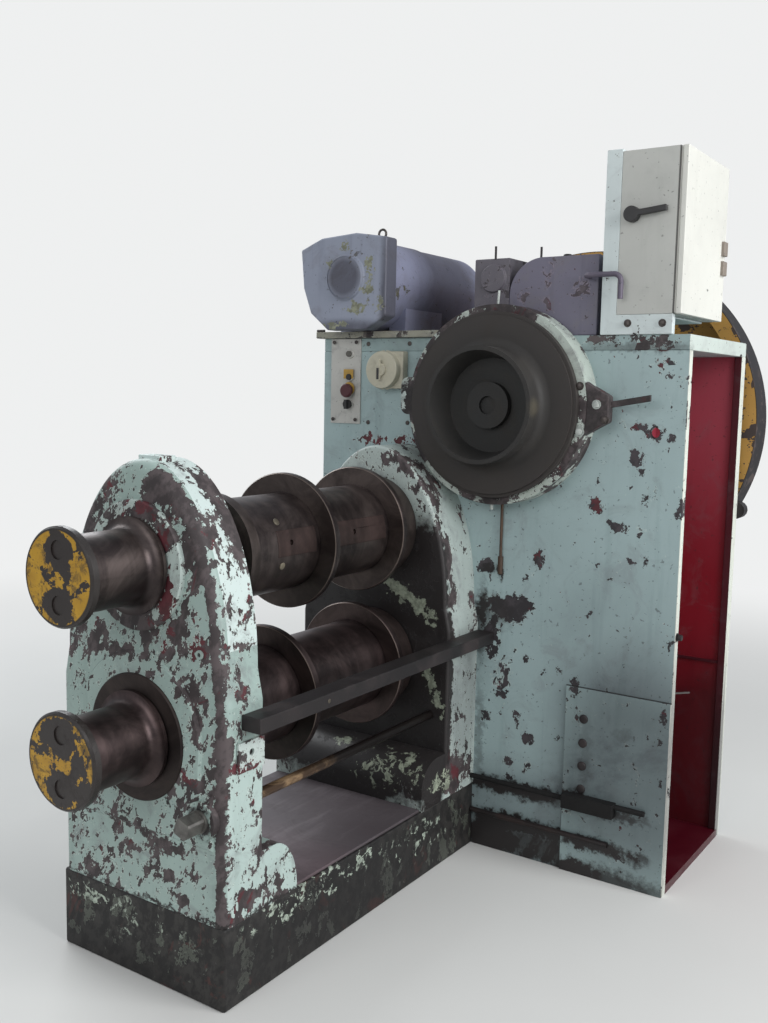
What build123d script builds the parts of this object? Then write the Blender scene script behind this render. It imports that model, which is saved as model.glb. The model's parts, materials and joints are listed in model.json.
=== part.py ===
"""Roll forging machine: two roll shafts between an outboard stand and an inboard housing on a box frame.

Millimetres, X to the right along the front, Y away from the outboard stand, Z up.
The origin lies in the middle of the underside of the bed.
"""
from build123d import *
import os

os.makedirs("parts", exist_ok=True)

# Fits, clearances and cutter margins
JOURNAL_GAP = 0.3
SEAT_GAP = 0.3
RUNNING_GAP = 6.0
WELD = 1.0
OVERCUT = 40.0

# Bed
BED_WIDTH = 615.0
BED_LENGTH = 1290.0
BED_HEIGHT = 224.0
BED_CORNER = 8.0
BED_PLATE_THICKNESS = 10.0
BED_PLATE_MARGIN = 8.0
STAND_FRONT = -BED_LENGTH / 2
FRAME_FRONT = BED_LENGTH / 2

# Roll shafts
CENTRE_DISTANCE = 460.0
LOWER_SHAFT_Z = 676.0
UPPER_SHAFT_Z = LOWER_SHAFT_Z + CENTRE_DISTANCE
SHAFT_OVERHANG = 255.0
DISC_RADIUS = 125.0
DISC_THICKNESS = 22.0
DISC_ROUND = 5.0
MARK_RADIUS = 24.0
MARK_PITCH = 68.0
MARK_DEPTH = 4.0
BARREL_RADIUS = 99.0
COLLAR_RADIUS = 129.0
COLLAR_WIDTH = 10.0
JOURNAL_RADIUS = 95.0
SHOULDER_RADIUS = 168.0
SHOULDER_FROM_STAND = 116.0
SHOULDER_WIDTH = 36.0
SEAT_RADIUS = 147.0
FLANGE_CLEARANCE = 22.0
FLANGE_RADIUS = CENTRE_DISTANCE / 2 - FLANGE_CLEARANCE
FLANGE_WIDTH = 24.0
FLANGE_CHAMFER = 3.0
UPPER_MID_FLANGE = 588.0
LOWER_MID_FLANGE = 506.0
REAR_FLANGE = 956.0
REAR_COLLAR_RADIUS = 172.0
REAR_JOURNAL_RADIUS = 120.0
KEY_WIDTH = 78.0
KEY_RISE = 1.5
KEY_DEPTH = 16.0
KEY_ANGLE = 9.0
KEY_HOLE_RADIUS = 8.0
KEY_HOLE_DEPTH = 9.0
FRONT_KEY_START = 102.0
REAR_KEY_START = 68.0
KEY_END_MARGIN = 16.0

# Outboard stand, inboard housing and the bearing covers
STAND_THICKNESS = 143.0
STAND_ROUND = 30.0
KNEE_RISE = 124.0
SHOULDER_RISE = 204.0
SHOULDER_INSET = 17.5
CROWN_RISE = 275.0
FOOT_LENGTH = 150.0
FOOT_FLAT = 54.0
FOOT_HEIGHT = 161.0
STAND_TOE = 9.0
OIL_PAD_WIDTH = 96.0
OIL_PAD_DEPTH = 58.0
OIL_PAD_HEIGHT = 8.0
OIL_CUP_RADIUS = 19.0
OIL_CUP_DEPTH = 12.0
COVER_RADIUS = 172.0
COVER_THICKNESS = 14.0
COVER_CHAMFER = 4.0
COVER_BORE_GAP = 3.0
BOSS_RADIUS = 232.0
BOSS_RISE = 8.0
BOSS_FLAT = 3.0
HOUSING_DEPTH = 197.0
HOUSING_ROUND = 10.0
HOUSING_TOE = 76.0

# Adjusting shaft, tie bar and the drilled tab under it
ADJUST_INSET = 68.5
ADJUST_X = BED_WIDTH / 2 - ADJUST_INSET
ADJUST_Z = 506.0
ADJUST_RADIUS = 15.0
ADJUST_REACH = 60.0
ADJUST_PAD_ABOVE = 68.0
ADJUST_PAD_BELOW = 81.0
ADJUST_PAD_INSET = 37.5
ADJUST_BOSS_RADIUS = 50.0
ADJUST_BOSS_LENGTH = 20.0
ADJUST_COLLAR_RADIUS = 30.0
ADJUST_COLLAR_WIDTH = 8.0
ADJUST_SQUARE = 44.0
ADJUST_SQUARE_LENGTH = 56.0
ADJUST_SQUARE_TURN = 20.0
ADJUST_SQUARE_CHAMFER = 5.0
TIE_BAR_WIDTH = 64.0
TIE_BAR_HEIGHT = 41.0
TIE_BAR_RISE = 60.0
TIE_BAR_LEAD = 60.0
TAB_LEAD = 43.0
TAB_DROP = 31.0
TAB_HEIGHT = 79.0
TAB_THICKNESS = 8.0
TAB_HOLE_RADIUS = 9.0
TAB_HOLE_DROP = 32.0

# Box frame
FRAME_LEFT = -378.0
FRAME_RIGHT = 1007.0
FRAME_DEPTH = 608.0
FRAME_HEIGHT = 1787.0
PLATE = 28.0
TOP_PLATE = 48.0
RECESS_DEPTH = 300.0
EDGE_STRIP_WIDTH = 27.0
EDGE_STRIP_THICKNESS = 12.0
RECESS_RIB_Z = 645.0
RECESS_RIB_HEIGHT = 10.0
RECESS_RIB_DEPTH = 8.0
COVER_PLATE_LEFT = 652.0
COVER_PLATE_TOP = 637.0
COVER_PLATE_THICKNESS = 8.0
SIGHT_HOLE_INSET = 99.0
SIGHT_HOLE_DROP = 302.0
SIGHT_HOLE_RADIUS = 17.0
FRAME_BACK = FRAME_FRONT + FRAME_DEPTH
PLATE_TOP = FRAME_HEIGHT - TOP_PLATE

# Clutch housing and cover
CLUTCH_X = 388.0
CLUTCH_DROP = 229.0
CLUTCH_Z = FRAME_HEIGHT - CLUTCH_DROP
CLUTCH_RADIUS = 329.0
CLUTCH_WALL = 26.0
CLUTCH_DEPTH = 88.0
CLUTCH_LUG_WIDTH = 68.0
CLUTCH_LUG_HEIGHT = 128.0
CLUTCH_LUG_DEPTH = 46.0
CLUTCH_LUG_RISE = 25.0
CLUTCH_LUG_ROUND = 28.0
CLUTCH_COVER_RADIUS = 304.0
CLUTCH_COVER_THICKNESS = 22.0
CLUTCH_RIM_WIDTH = 12.0
CLUTCH_RIM_STEP = 8.0
CLUTCH_DRUM_RADIUS = 190.0
CLUTCH_DRUM_LENGTH = 92.0
CLUTCH_DRUM_WALL = 14.0
CLUTCH_DRUM_FLARE = 30.0
CLUTCH_DRUM_TAPER = 22.0
CLUTCH_FLOOR = 16.0
CLUTCH_HUB_RADIUS = 76.0
CLUTCH_HUB_RISE = 26.0
CLUTCH_HUB_EYE = 30.0
HOUSING_JOURNAL_LENGTH = HOUSING_DEPTH - CLUTCH_DEPTH - 2 * RUNNING_GAP
EAR_REACH = 71.0
EAR_TIP = 80.0
EAR_ROOT = 236.0
EAR_DROP = 3.0
EAR_THICKNESS = 40.0
EAR_ROUND = 12.0
LEVER_RISE = 24.0
LEVER_LENGTH = 126.0
LEVER_ROOT = 30.0
LEVER_TIP = 20.0
LEVER_THICKNESS = 10.0
LEVER_SET_BACK = 22.0

# Flywheel and its bearing
FLYWHEEL_SHIFT = 14.0
FLYWHEEL_DROP = 56.0
FLYWHEEL_X = CLUTCH_X + FLYWHEEL_SHIFT
FLYWHEEL_Z = CLUTCH_Z - FLYWHEEL_DROP
FLYWHEEL_RADIUS = 640.0
FLYWHEEL_WIDTH = 130.0
FLYWHEEL_RIM = 58.0
FLYWHEEL_WEB = 40.0
FLYWHEEL_HUB_RADIUS = 120.0
FLYWHEEL_HUB_PROUD = 10.0
FLYWHEEL_GAP = 60.0
FLYWHEEL_SHAFT_RADIUS = 55.0
FLYWHEEL_SHAFT_REACH = 30.0
BEARING_BOSS_RADIUS = 140.0

# Motor on its base plate
MOTOR_X = -217.0
MOTOR_OVERHANG = 116.0
MOTOR_WIDTH = 374.0
MOTOR_HEIGHT = 335.0
MOTOR_SHIELD_DEPTH = 70.0
MOTOR_BAND_WIDTH = 30.0
MOTOR_BAND_RISE = 3.0
MOTOR_BODY_RADIUS = MOTOR_HEIGHT / 2 - MOTOR_BAND_RISE
MOTOR_BODY_LENGTH = 330.0
MOTOR_BELL_LENGTH = 345.0
MOTOR_BELL_INSET = 4.0
MOTOR_CAP_RADIUS = 78.0
MOTOR_CAP_DEPTH = 14.0
MOTOR_CAP_SHIFT = 17.0
MOTOR_CAP_RISE = 14.0
MOTOR_FOOT_WIDTH = 70.0
MOTOR_FOOT_SPREAD = 110.0
MOTOR_FOOT_SET_BACK = 86.0
MOTOR_FOOT_LENGTH = 340.0
MOTOR_BASE_THICKNESS = 24.0
MOTOR_BASE_MARGIN = 170.0
MOTOR_BASE_LIP = 20.0
MOTOR_BASE_SHORT = 40.0
EYE_RADIUS = 16.0
EYE_BAR = 4.5
EYE_STEM_RADIUS = 6.0
EYE_STEM_LENGTH = 18.0
EYE_SET_BACK = 180.0

# Guard over the belt drive and the small junction box beside it
GUARD_HEIGHT = 259.0
GUARD_TOP = FRAME_HEIGHT + GUARD_HEIGHT
GUARD_WIDTH = 315.7
GUARD_SET_BACK = 10.0
GUARD_DEPTH = 440.0
GUARD_DROP = 4.0
GUARD_CORNER = 120.0
JUNCTION_LEFT = 250.0
JUNCTION_WIDTH = 132.0
JUNCTION_DEPTH = 220.0
GLASS_RADIUS = 46.0
GLASS_SHIFT = 7.0
GLASS_DROP = 66.0
GLASS_PROUD = 10.0
HOOK_PIPE_RADIUS = 8.5
HOOK_PIPE_SIDES = 12
HOOK_START = 30.0
HOOK_STAND_OFF = 34.0
HOOK_DROP_FROM_TOP = 74.0
HOOK_REACH = 122.0
HOOK_DROP = 77.0
HOOK_BEND = 24.0
GUARD_LEFT = JUNCTION_LEFT + JUNCTION_WIDTH + SEAT_GAP
GUARD_RIGHT = GUARD_LEFT + GUARD_WIDTH
GUARD_FRONT = FRAME_FRONT + GUARD_SET_BACK

# Control cabinet
CABINET_INSET = 57.0
CABINET_DEPTH = 182.0
CABINET_WIDTH = 412.0
CABINET_RISE = 62.0
CABINET_HEIGHT = 496.0
CABINET_WALL = 5.0
CABINET_PROUD = 6.0
POST_WIDTH = 52.0
POST_DEPTH = 380.0
POST_PROUD = 8.0
FOOT_PLATE = 24.0
SHELF = 8.0
SHELF_SHORT = 30.0
DOOR_THICKNESS = 24.0
DOOR_GAP = 0.3
DOOR_RETURN = 4.0
DOOR_SEAM = 6.0
LATCH_WIDTH = 40.0
LATCH_HEIGHT = 46.0
LATCH_PROUD = 12.0
LATCH_MARGIN = 8.0
LATCH_RISES = (171.0, 234.0)
ISOLATOR_INSET = 42.0
ISOLATOR_RISE = 302.0
ISOLATOR_RADIUS = 24.0
ISOLATOR_DEPTH = 26.0
ISOLATOR_LEVER = 112.0
ISOLATOR_LEVER_WIDTH = 18.0
ISOLATOR_LEVER_DEPTH = 16.0
ISOLATOR_TILT = 6.0
CABINET_BACK_X = FRAME_RIGHT - CABINET_INSET - CABINET_DEPTH
CABINET_FACE_X = FRAME_RIGHT - CABINET_INSET
CABINET_FRONT = FRAME_FRONT - CABINET_PROUD
CABINET_END = CABINET_FRONT + CABINET_WIDTH
CABINET_BOTTOM = FRAME_HEIGHT + CABINET_RISE
CABINET_TOP = CABINET_BOTTOM + CABINET_HEIGHT

# Operator devices on the front plate
PANEL_INSET = 103.0
PANEL_WIDTH = 134.0
PANEL_DROP = 2.0
PANEL_HEIGHT = 310.0
PANEL_THICKNESS = 6.0
DEVICE_SHIFT = 22.0
DEVICE_PITCH = 50.0
LAMP_DROP = 55.0
START_DROP = 139.0
DEVICE_COLLAR_RADIUS = 16.0
DEVICE_COLLAR_DEPTH = 8.0
BUTTON_RADIUS = 11.0
BUTTON_PROUD = 6.0
BUTTON_TRAVEL = 4.0
MUSHROOM_RADIUS = 25.0
MUSHROOM_HEIGHT = 14.0
SELECTOR_RADIUS = 17.0
GRIP_WIDTH = 12.0
GRIP_HEIGHT = 9.0
SWITCH_INSET = 298.0
SWITCH_DROP = 115.0
SWITCH_RADIUS = 66.0
SWITCH_DEPTH = 62.0
SWITCH_BOX_DEPTH = 34.0
SWITCH_BOX_REACH = 75.0
SWITCH_BOX_LEFT = 40.0
KNOB_RADIUS = 22.0
KNOB_DEPTH = 10.0
POINTER_WIDTH = 12.0
POINTER_LENGTH = 76.0
PANEL_X = FRAME_LEFT + PANEL_INSET
PANEL_TOP = FRAME_HEIGHT - PANEL_DROP
DEVICE_X = PANEL_X + DEVICE_SHIFT
LAMP_Z = PANEL_TOP - LAMP_DROP
START_Z = PANEL_TOP - START_DROP
STOP_Z = START_Z - DEVICE_PITCH
SELECTOR_Z = STOP_Z - DEVICE_PITCH
SWITCH_X = FRAME_LEFT + SWITCH_INSET
SWITCH_Z = FRAME_HEIGHT - SWITCH_DROP
PANEL_FACE = FRAME_FRONT - PANEL_THICKNESS
DEVICE_FACE = PANEL_FACE - DEVICE_COLLAR_DEPTH

# Pipes on the front plate
PIPE_RADIUS = 9.0
UPPER_PIPE_Z = 255.0
LOWER_PIPE_Z = 132.0
PIPE_STAND_OFF = 18.0
PIPE_START_GAP = 4.0
VALVE_SHIFT = 12.0
VALVE_LENGTH = 178.0
VALVE_HEIGHT = 48.0
VALVE_DEPTH = 36.0
TAIL_LENGTH = 100.0
TAIL_RISE = 12.0
LOWER_PIPE_END = 170.0
OIL_LINE_RADIUS = 5.0
OIL_LINE_LENGTH = 244.0
OIL_LINE_SHIFT = 5.0
OIL_NOZZLE_RADIUS = 9.0
OIL_NOZZLE_LENGTH = 60.0


def block(x0, x1, y0, y1, z0, z1):
    """Box between two corners."""
    return Pos((x0 + x1) / 2, (y0 + y1) / 2, (z0 + z1) / 2) * Box(x1 - x0, y1 - y0, z1 - z0)


def rod_y(x, z, radius, y0, y1):
    """Round bar along Y."""
    turned = Rot(90, 0, 0) * Cylinder(radius, y1 - y0)
    return Pos(x, (y0 + y1) / 2, z) * turned


def rod_x(y, z, radius, x0, x1):
    """Round bar along X."""
    turned = Rot(0, 90, 0) * Cylinder(radius, x1 - x0)
    return Pos((x0 + x1) / 2, y, z) * turned


def rod_z(x, y, radius, z0, z1):
    """Round bar along Z."""
    return Pos(x, y, (z0 + z1) / 2) * Cylinder(radius, z1 - z0)


def front_plane(y):
    """Work plane seen from the front, with X to the right and Z up."""
    return Plane(origin=(0, y, 0), x_dir=(1, 0, 0), z_dir=(0, -1, 0))


def slab(outline, y0, y1):
    """Solid between two depths from an outline drawn as seen from the front."""
    return extrude(front_plane(y0) * outline, amount=-(y1 - y0))


def turned_y(profile, x, z):
    """Solid of revolution about an axis along Y, from a half profile of radius and depth."""
    return Pos(x, 0, z) * revolve(profile, Axis.Y)


def save(name, shape):
    """Write one piece."""
    export_step(shape, f"parts/{name}.step")


def bed_casting():
    """Box-shaped bed with eased upright corners at its free end."""
    half = BED_WIDTH / 2
    body = block(-half, half, STAND_FRONT, FRAME_FRONT, 0, BED_HEIGHT)
    return fillet(body.edges().filter_by(Axis.Z).group_by(Axis.Y)[0], BED_CORNER)


def bed_top_plate():
    """Sheet on the bed between the stand's foot and the housing's foot."""
    half = BED_WIDTH / 2 - BED_PLATE_MARGIN
    front = STAND_FRONT + STAND_THICKNESS + FOOT_LENGTH + SEAT_GAP
    back = FRAME_FRONT - HOUSING_DEPTH - FOOT_LENGTH - SEAT_GAP
    return block(-half, half, front, back, BED_HEIGHT, BED_HEIGHT + BED_PLATE_THICKNESS)


def bearing_outline():
    """Upright sides, a knee and an elliptical crown, shared by the stand and the housing."""
    half = BED_WIDTH / 2
    shoulder = half - SHOULDER_INSET
    knee_z = LOWER_SHAFT_Z + KNEE_RISE
    shoulder_z = LOWER_SHAFT_Z + SHOULDER_RISE
    rise = UPPER_SHAFT_Z + CROWN_RISE - shoulder_z
    crown = EllipticalCenterArc((0, shoulder_z), shoulder, rise, start_angle=0, arc_size=180)
    sides = Polyline((-shoulder, shoulder_z), (-half, knee_z), (-half, BED_HEIGHT),
                     (half, BED_HEIGHT), (half, knee_z), (shoulder, shoulder_z))
    return make_face(crown.edges() + sides.edges())


def domed_casting(front, back, edge_round):
    """Upright bearing casting with the edge of its outer face rounded."""
    body = slab(bearing_outline(), front, back)
    rim = body.faces().sort_by(Axis.Y)[0].edges().filter_by(lambda e: e.center().Z > BED_HEIGHT + WELD)
    return fillet(rim, edge_round)


def spread_foot(face_y, toe, direction):
    """Foot that runs out over the bed: a toe, a quarter-round brow and a flat top."""
    half = BED_WIDTH / 2
    brow = EllipticalCenterArc((FOOT_FLAT, toe), FOOT_LENGTH - FOOT_FLAT, FOOT_HEIGHT - toe,
                               start_angle=0, arc_size=90)
    rest = Polyline((FOOT_FLAT, FOOT_HEIGHT), (-WELD, FOOT_HEIGHT), (-WELD, 0), (FOOT_LENGTH, 0),
                    (FOOT_LENGTH, toe))
    side = Plane(origin=(-direction * half, face_y, BED_HEIGHT), x_dir=(0, direction, 0),
                 z_dir=(direction, 0, 0))
    return extrude(side * make_face(brow.edges() + rest.edges()), amount=BED_WIDTH)


def journal_bores(radius, y0, y1):
    """Cutters for the two shaft bores."""
    return [rod_y(0, z, radius + JOURNAL_GAP, y0, y1) for z in (LOWER_SHAFT_Z, UPPER_SHAFT_Z)]


def raised_pads():
    """Low cast pads: a round head over the lower bearing, and a band across the adjusting shaft."""
    front, back = STAND_FRONT - BOSS_RISE, STAND_FRONT + WELD
    straight = BOSS_RADIUS - BOSS_FLAT
    reach = BED_WIDTH / 2 - ADJUST_PAD_INSET
    band_top = ADJUST_Z + ADJUST_PAD_ABOVE
    pads = rod_y(0, LOWER_SHAFT_Z, BOSS_RADIUS, front, back)
    pads += block(-straight, straight, front, back, band_top - WELD, LOWER_SHAFT_Z)
    pads += block(-reach, reach, front, back, ADJUST_Z - ADJUST_PAD_BELOW, band_top)
    pads = chamfer(pads.faces().sort_by(Axis.Y)[0].edges(), BOSS_RISE - WELD)
    return pads - rod_y(0, LOWER_SHAFT_Z, COVER_RADIUS + SEAT_GAP, STAND_FRONT - OVERCUT, STAND_FRONT)


def oil_pad():
    """Flat pad with a round oil cup on the crown of the stand."""
    crown = UPPER_SHAFT_Z + CROWN_RISE
    middle = STAND_FRONT + STAND_THICKNESS / 2
    half = OIL_PAD_WIDTH / 2
    top = crown + OIL_PAD_HEIGHT
    pad = block(-half, half, middle - OIL_PAD_DEPTH / 2, middle + OIL_PAD_DEPTH / 2, crown - OVERCUT, top)
    pad = chamfer(pad.edges().filter_by(Axis.Z), OIL_CUP_RADIUS / 2)
    return pad, rod_z(0, middle, OIL_CUP_RADIUS, top - OIL_CUP_DEPTH, top + OVERCUT)


def outboard_stand():
    """Outboard bearing casting with a spread foot, an oil pad and an adjusting boss."""
    back = STAND_FRONT + STAND_THICKNESS
    pad, cup = oil_pad()
    boss_front = STAND_FRONT - ADJUST_BOSS_LENGTH
    boss = rod_y(ADJUST_X, ADJUST_Z, ADJUST_BOSS_RADIUS, boss_front, STAND_FRONT + ADJUST_BOSS_LENGTH)
    body = domed_casting(STAND_FRONT, back, STAND_ROUND) + spread_foot(back, STAND_TOE, 1)
    body += raised_pads() + pad + boss
    body -= cup
    for bore in journal_bores(JOURNAL_RADIUS, STAND_FRONT - OVERCUT, back + OVERCUT):
        body -= bore
    bore_end = back + FOOT_LENGTH + OVERCUT
    return body - rod_y(ADJUST_X, ADJUST_Z, ADJUST_RADIUS + JOURNAL_GAP, STAND_FRONT - OVERCUT, bore_end)


def bearing_cover(z):
    """Ring over the outer end of one bearing."""
    cover = rod_y(0, z, COVER_RADIUS, STAND_FRONT - COVER_THICKNESS, STAND_FRONT)
    cover = chamfer(cover.faces().sort_by(Axis.Y)[0].edges(), COVER_CHAMFER)
    bore = JOURNAL_RADIUS + COVER_BORE_GAP
    return cover - rod_y(0, z, bore, STAND_FRONT - OVERCUT, STAND_FRONT + OVERCUT)


def stand_tab():
    """Drilled plate on the side of the stand, just under the tie bar."""
    x0 = BED_WIDTH / 2 + SEAT_GAP
    top = LOWER_SHAFT_Z + TIE_BAR_RISE - TAB_DROP
    front = STAND_FRONT + TAB_LEAD
    back = STAND_FRONT + STAND_THICKNESS
    plate = block(x0, x0 + TAB_THICKNESS, front, back, top - TAB_HEIGHT, top)
    hole_y = (front + back) / 2
    return plate - rod_x(hole_y, top - TAB_HOLE_DROP, TAB_HOLE_RADIUS, x0 - OVERCUT, x0 + OVERCUT)


def inboard_housing():
    """Inboard bearing casting on the frame, with a blunt spread foot on the bed."""
    front = FRAME_FRONT - HOUSING_DEPTH
    body = domed_casting(front, FRAME_FRONT, HOUSING_ROUND) + spread_foot(front, HOUSING_TOE, -1)
    bore_end = front + HOUSING_JOURNAL_LENGTH + RUNNING_GAP
    for bore in journal_bores(REAR_JOURNAL_RADIUS, front - OVERCUT, bore_end):
        body -= bore
    socket_start = front - FOOT_LENGTH - OVERCUT
    socket_end = front + ADJUST_REACH + RUNNING_GAP
    body -= rod_y(ADJUST_X, ADJUST_Z, ADJUST_RADIUS + JOURNAL_GAP, socket_start, socket_end)
    room = FRAME_FRONT - CLUTCH_DEPTH - CLUTCH_COVER_THICKNESS - RUNNING_GAP
    return body - rod_y(CLUTCH_X, CLUTCH_Z, CLUTCH_RADIUS + SEAT_GAP, room, FRAME_FRONT + OVERCUT)


def roll_shaft(z, mid_flange):
    """Stub barrel with a flared collar, journals, two die seats and their flanges, in one piece."""
    free_end = STAND_FRONT - SHAFT_OVERHANG + DISC_THICKNESS
    collar_back = STAND_FRONT - COVER_THICKNESS - RUNNING_GAP
    collar_front = collar_back - COLLAR_WIDTH
    flare = COLLAR_RADIUS - BARREL_RADIUS
    shoulder = STAND_FRONT + STAND_THICKNESS + SHOULDER_FROM_STAND
    mid = STAND_FRONT + mid_flange
    rear = STAND_FRONT + REAR_FLANGE
    housing = FRAME_FRONT - HOUSING_DEPTH - RUNNING_GAP
    end = FRAME_FRONT - HOUSING_DEPTH + HOUSING_JOURNAL_LENGTH
    flare_start = (BARREL_RADIUS, collar_front - flare)
    barrel = Polyline((0, end), (0, free_end), (BARREL_RADIUS, free_end), flare_start)
    sweep_out = RadiusArc(flare_start, (COLLAR_RADIUS, collar_front), flare)
    rest = Polyline(
        (COLLAR_RADIUS, collar_front),
        (COLLAR_RADIUS, collar_back),
        (JOURNAL_RADIUS, collar_back),
        (JOURNAL_RADIUS, shoulder),
        (SHOULDER_RADIUS, shoulder),
        (SHOULDER_RADIUS, shoulder + SHOULDER_WIDTH),
        (SEAT_RADIUS, shoulder + SHOULDER_WIDTH),
        (SEAT_RADIUS, mid),
        *flange_points(mid),
        (SEAT_RADIUS, mid + FLANGE_WIDTH),
        (SEAT_RADIUS, rear),
        *flange_points(rear),
        (REAR_COLLAR_RADIUS, rear + FLANGE_WIDTH),
        (REAR_COLLAR_RADIUS, housing),
        (REAR_JOURNAL_RADIUS, housing),
        (REAR_JOURNAL_RADIUS, end),
        (0, end),
    )
    return turned_y(make_face(barrel.edges() + sweep_out.edges() + rest.edges()), 0, z)


def flange_points(y):
    """Outline of one flange with its two edges chamfered."""
    low = FLANGE_RADIUS - FLANGE_CHAMFER
    back = y + FLANGE_WIDTH
    rim = [(FLANGE_RADIUS, y + FLANGE_CHAMFER), (FLANGE_RADIUS, back - FLANGE_CHAMFER)]
    return [(low, y), *rim, (low, back)]


def key_spans():
    """Where the keys start and end along the front and the rear die seat."""
    seat_start = STAND_FRONT + STAND_THICKNESS + SHOULDER_FROM_STAND + SHOULDER_WIDTH
    mid = STAND_FRONT + UPPER_MID_FLANGE
    rear = STAND_FRONT + REAR_FLANGE
    front_span = (seat_start + FRONT_KEY_START, mid - KEY_END_MARGIN)
    rear_span = (mid + FLANGE_WIDTH + REAR_KEY_START, rear - KEY_END_MARGIN)
    return front_span, rear_span


def key_slot(z, y0, y1):
    """Straight slot across the side of a die seat."""
    bar = block(SEAT_RADIUS - KEY_DEPTH, SEAT_RADIUS + OVERCUT, y0, y1, -KEY_WIDTH / 2, KEY_WIDTH / 2)
    return Pos(0, 0, z) * (Rot(0, -KEY_ANGLE, 0) * bar)


def seat_key(z, y0, y1):
    """Key that fills its slot and follows the round of the seat, with a jacking hole."""
    key = key_slot(z, y0, y1) & rod_y(0, z, SEAT_RADIUS + KEY_RISE, y0 - OVERCUT, y1 + OVERCUT)
    floor = SEAT_RADIUS + KEY_RISE - KEY_HOLE_DEPTH
    hole = rod_x(y0 + (y1 - y0) / 3, 0, KEY_HOLE_RADIUS, floor, SEAT_RADIUS + OVERCUT)
    return key - Pos(0, 0, z) * (Rot(0, -KEY_ANGLE, 0) * hole)


def end_disc(z):
    """Retaining disc on the free end of a stub, with two round sinkings."""
    front = STAND_FRONT - SHAFT_OVERHANG
    disc = rod_y(0, z, DISC_RADIUS, front, front + DISC_THICKNESS)
    disc = chamfer(disc.faces().sort_by(Axis.Y)[0].edges(), DISC_ROUND)
    for side in (-1, 1):
        disc -= rod_y(0, z + side * MARK_PITCH, MARK_RADIUS, front - OVERCUT, front + MARK_DEPTH)
    return disc


def adjusting_shaft():
    """Round rod from the stand to the housing, with a collar and a square end for a spanner."""
    face = STAND_FRONT - ADJUST_BOSS_LENGTH - SEAT_GAP
    collar = face - ADJUST_COLLAR_WIDTH
    end = FRAME_FRONT - HOUSING_DEPTH + ADJUST_REACH
    half = ADJUST_SQUARE / 2
    square = block(-half, half, collar - ADJUST_SQUARE_LENGTH, collar + WELD, -half, half)
    square = chamfer(square.edges().filter_by(Axis.Y), ADJUST_SQUARE_CHAMFER)
    rod = rod_y(ADJUST_X, ADJUST_Z, ADJUST_RADIUS, collar, end)
    rod += rod_y(ADJUST_X, ADJUST_Z, ADJUST_COLLAR_RADIUS, collar, face)
    return rod + Pos(ADJUST_X, 0, ADJUST_Z) * (Rot(0, ADJUST_SQUARE_TURN, 0) * square)


def tie_bar():
    """Flat bar bolted on the side of the stand and run back to the frame."""
    x0 = BED_WIDTH / 2 + SEAT_GAP
    z0 = LOWER_SHAFT_Z + TIE_BAR_RISE
    return block(x0, x0 + TIE_BAR_WIDTH, STAND_FRONT + TIE_BAR_LEAD, FRAME_FRONT, z0, z0 + TIE_BAR_HEIGHT)


def frame_front_plate():
    """Front plate of the box frame, with one small round hole."""
    plate = block(FRAME_LEFT, FRAME_RIGHT, FRAME_FRONT, FRAME_FRONT + PLATE, 0, PLATE_TOP)
    hole_x = FRAME_RIGHT - SIGHT_HOLE_INSET
    hole_z = FRAME_HEIGHT - SIGHT_HOLE_DROP
    hole_end = FRAME_FRONT + PLATE + OVERCUT
    return plate - rod_y(hole_x, hole_z, SIGHT_HOLE_RADIUS, FRAME_FRONT - OVERCUT, hole_end)


def frame_back_plate():
    """Back plate with a shaft hole, a strip along its open edge and a rib across the recess."""
    y0 = FRAME_BACK - PLATE
    face = y0 - EDGE_STRIP_THICKNESS
    strip_left = FRAME_RIGHT - EDGE_STRIP_WIDTH
    recess_left = FRAME_RIGHT - RECESS_DEPTH
    plate = block(FRAME_LEFT, FRAME_RIGHT, y0, FRAME_BACK, 0, PLATE_TOP)
    plate += block(strip_left, FRAME_RIGHT, face, y0 + WELD, PLATE, PLATE_TOP)
    plate += block(recess_left, strip_left + WELD, y0 - RECESS_RIB_DEPTH, y0 + WELD,
                   RECESS_RIB_Z, RECESS_RIB_Z + RECESS_RIB_HEIGHT)
    hole = FLYWHEEL_SHAFT_RADIUS + RUNNING_GAP
    return plate - rod_y(FLYWHEEL_X, FLYWHEEL_Z, hole, y0 - OVERCUT, FRAME_BACK + OVERCUT)


def frame_left_wall():
    """Closed side of the box frame."""
    return block(FRAME_LEFT, FRAME_LEFT + PLATE, FRAME_FRONT + PLATE, FRAME_BACK - PLATE, 0, PLATE_TOP)


def frame_recess_wall():
    """Upright wall that closes the open side some way in."""
    x1 = FRAME_RIGHT - RECESS_DEPTH
    return block(x1 - PLATE, x1, FRAME_FRONT + PLATE, FRAME_BACK - PLATE, 0, PLATE_TOP)


def frame_floor_plate():
    """Floor of the open side."""
    x0 = FRAME_RIGHT - RECESS_DEPTH
    return block(x0, FRAME_RIGHT, FRAME_FRONT + PLATE, FRAME_BACK - PLATE, 0, PLATE)


def frame_top_plate():
    """Thick plate over the box frame."""
    return block(FRAME_LEFT, FRAME_RIGHT, FRAME_FRONT, FRAME_BACK, PLATE_TOP, FRAME_HEIGHT)


def lower_cover_plate():
    """Cover plate at the lower right of the front plate."""
    y0 = FRAME_FRONT - COVER_PLATE_THICKNESS
    return block(COVER_PLATE_LEFT, FRAME_RIGHT, y0, FRAME_FRONT, 0, COVER_PLATE_TOP)


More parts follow.
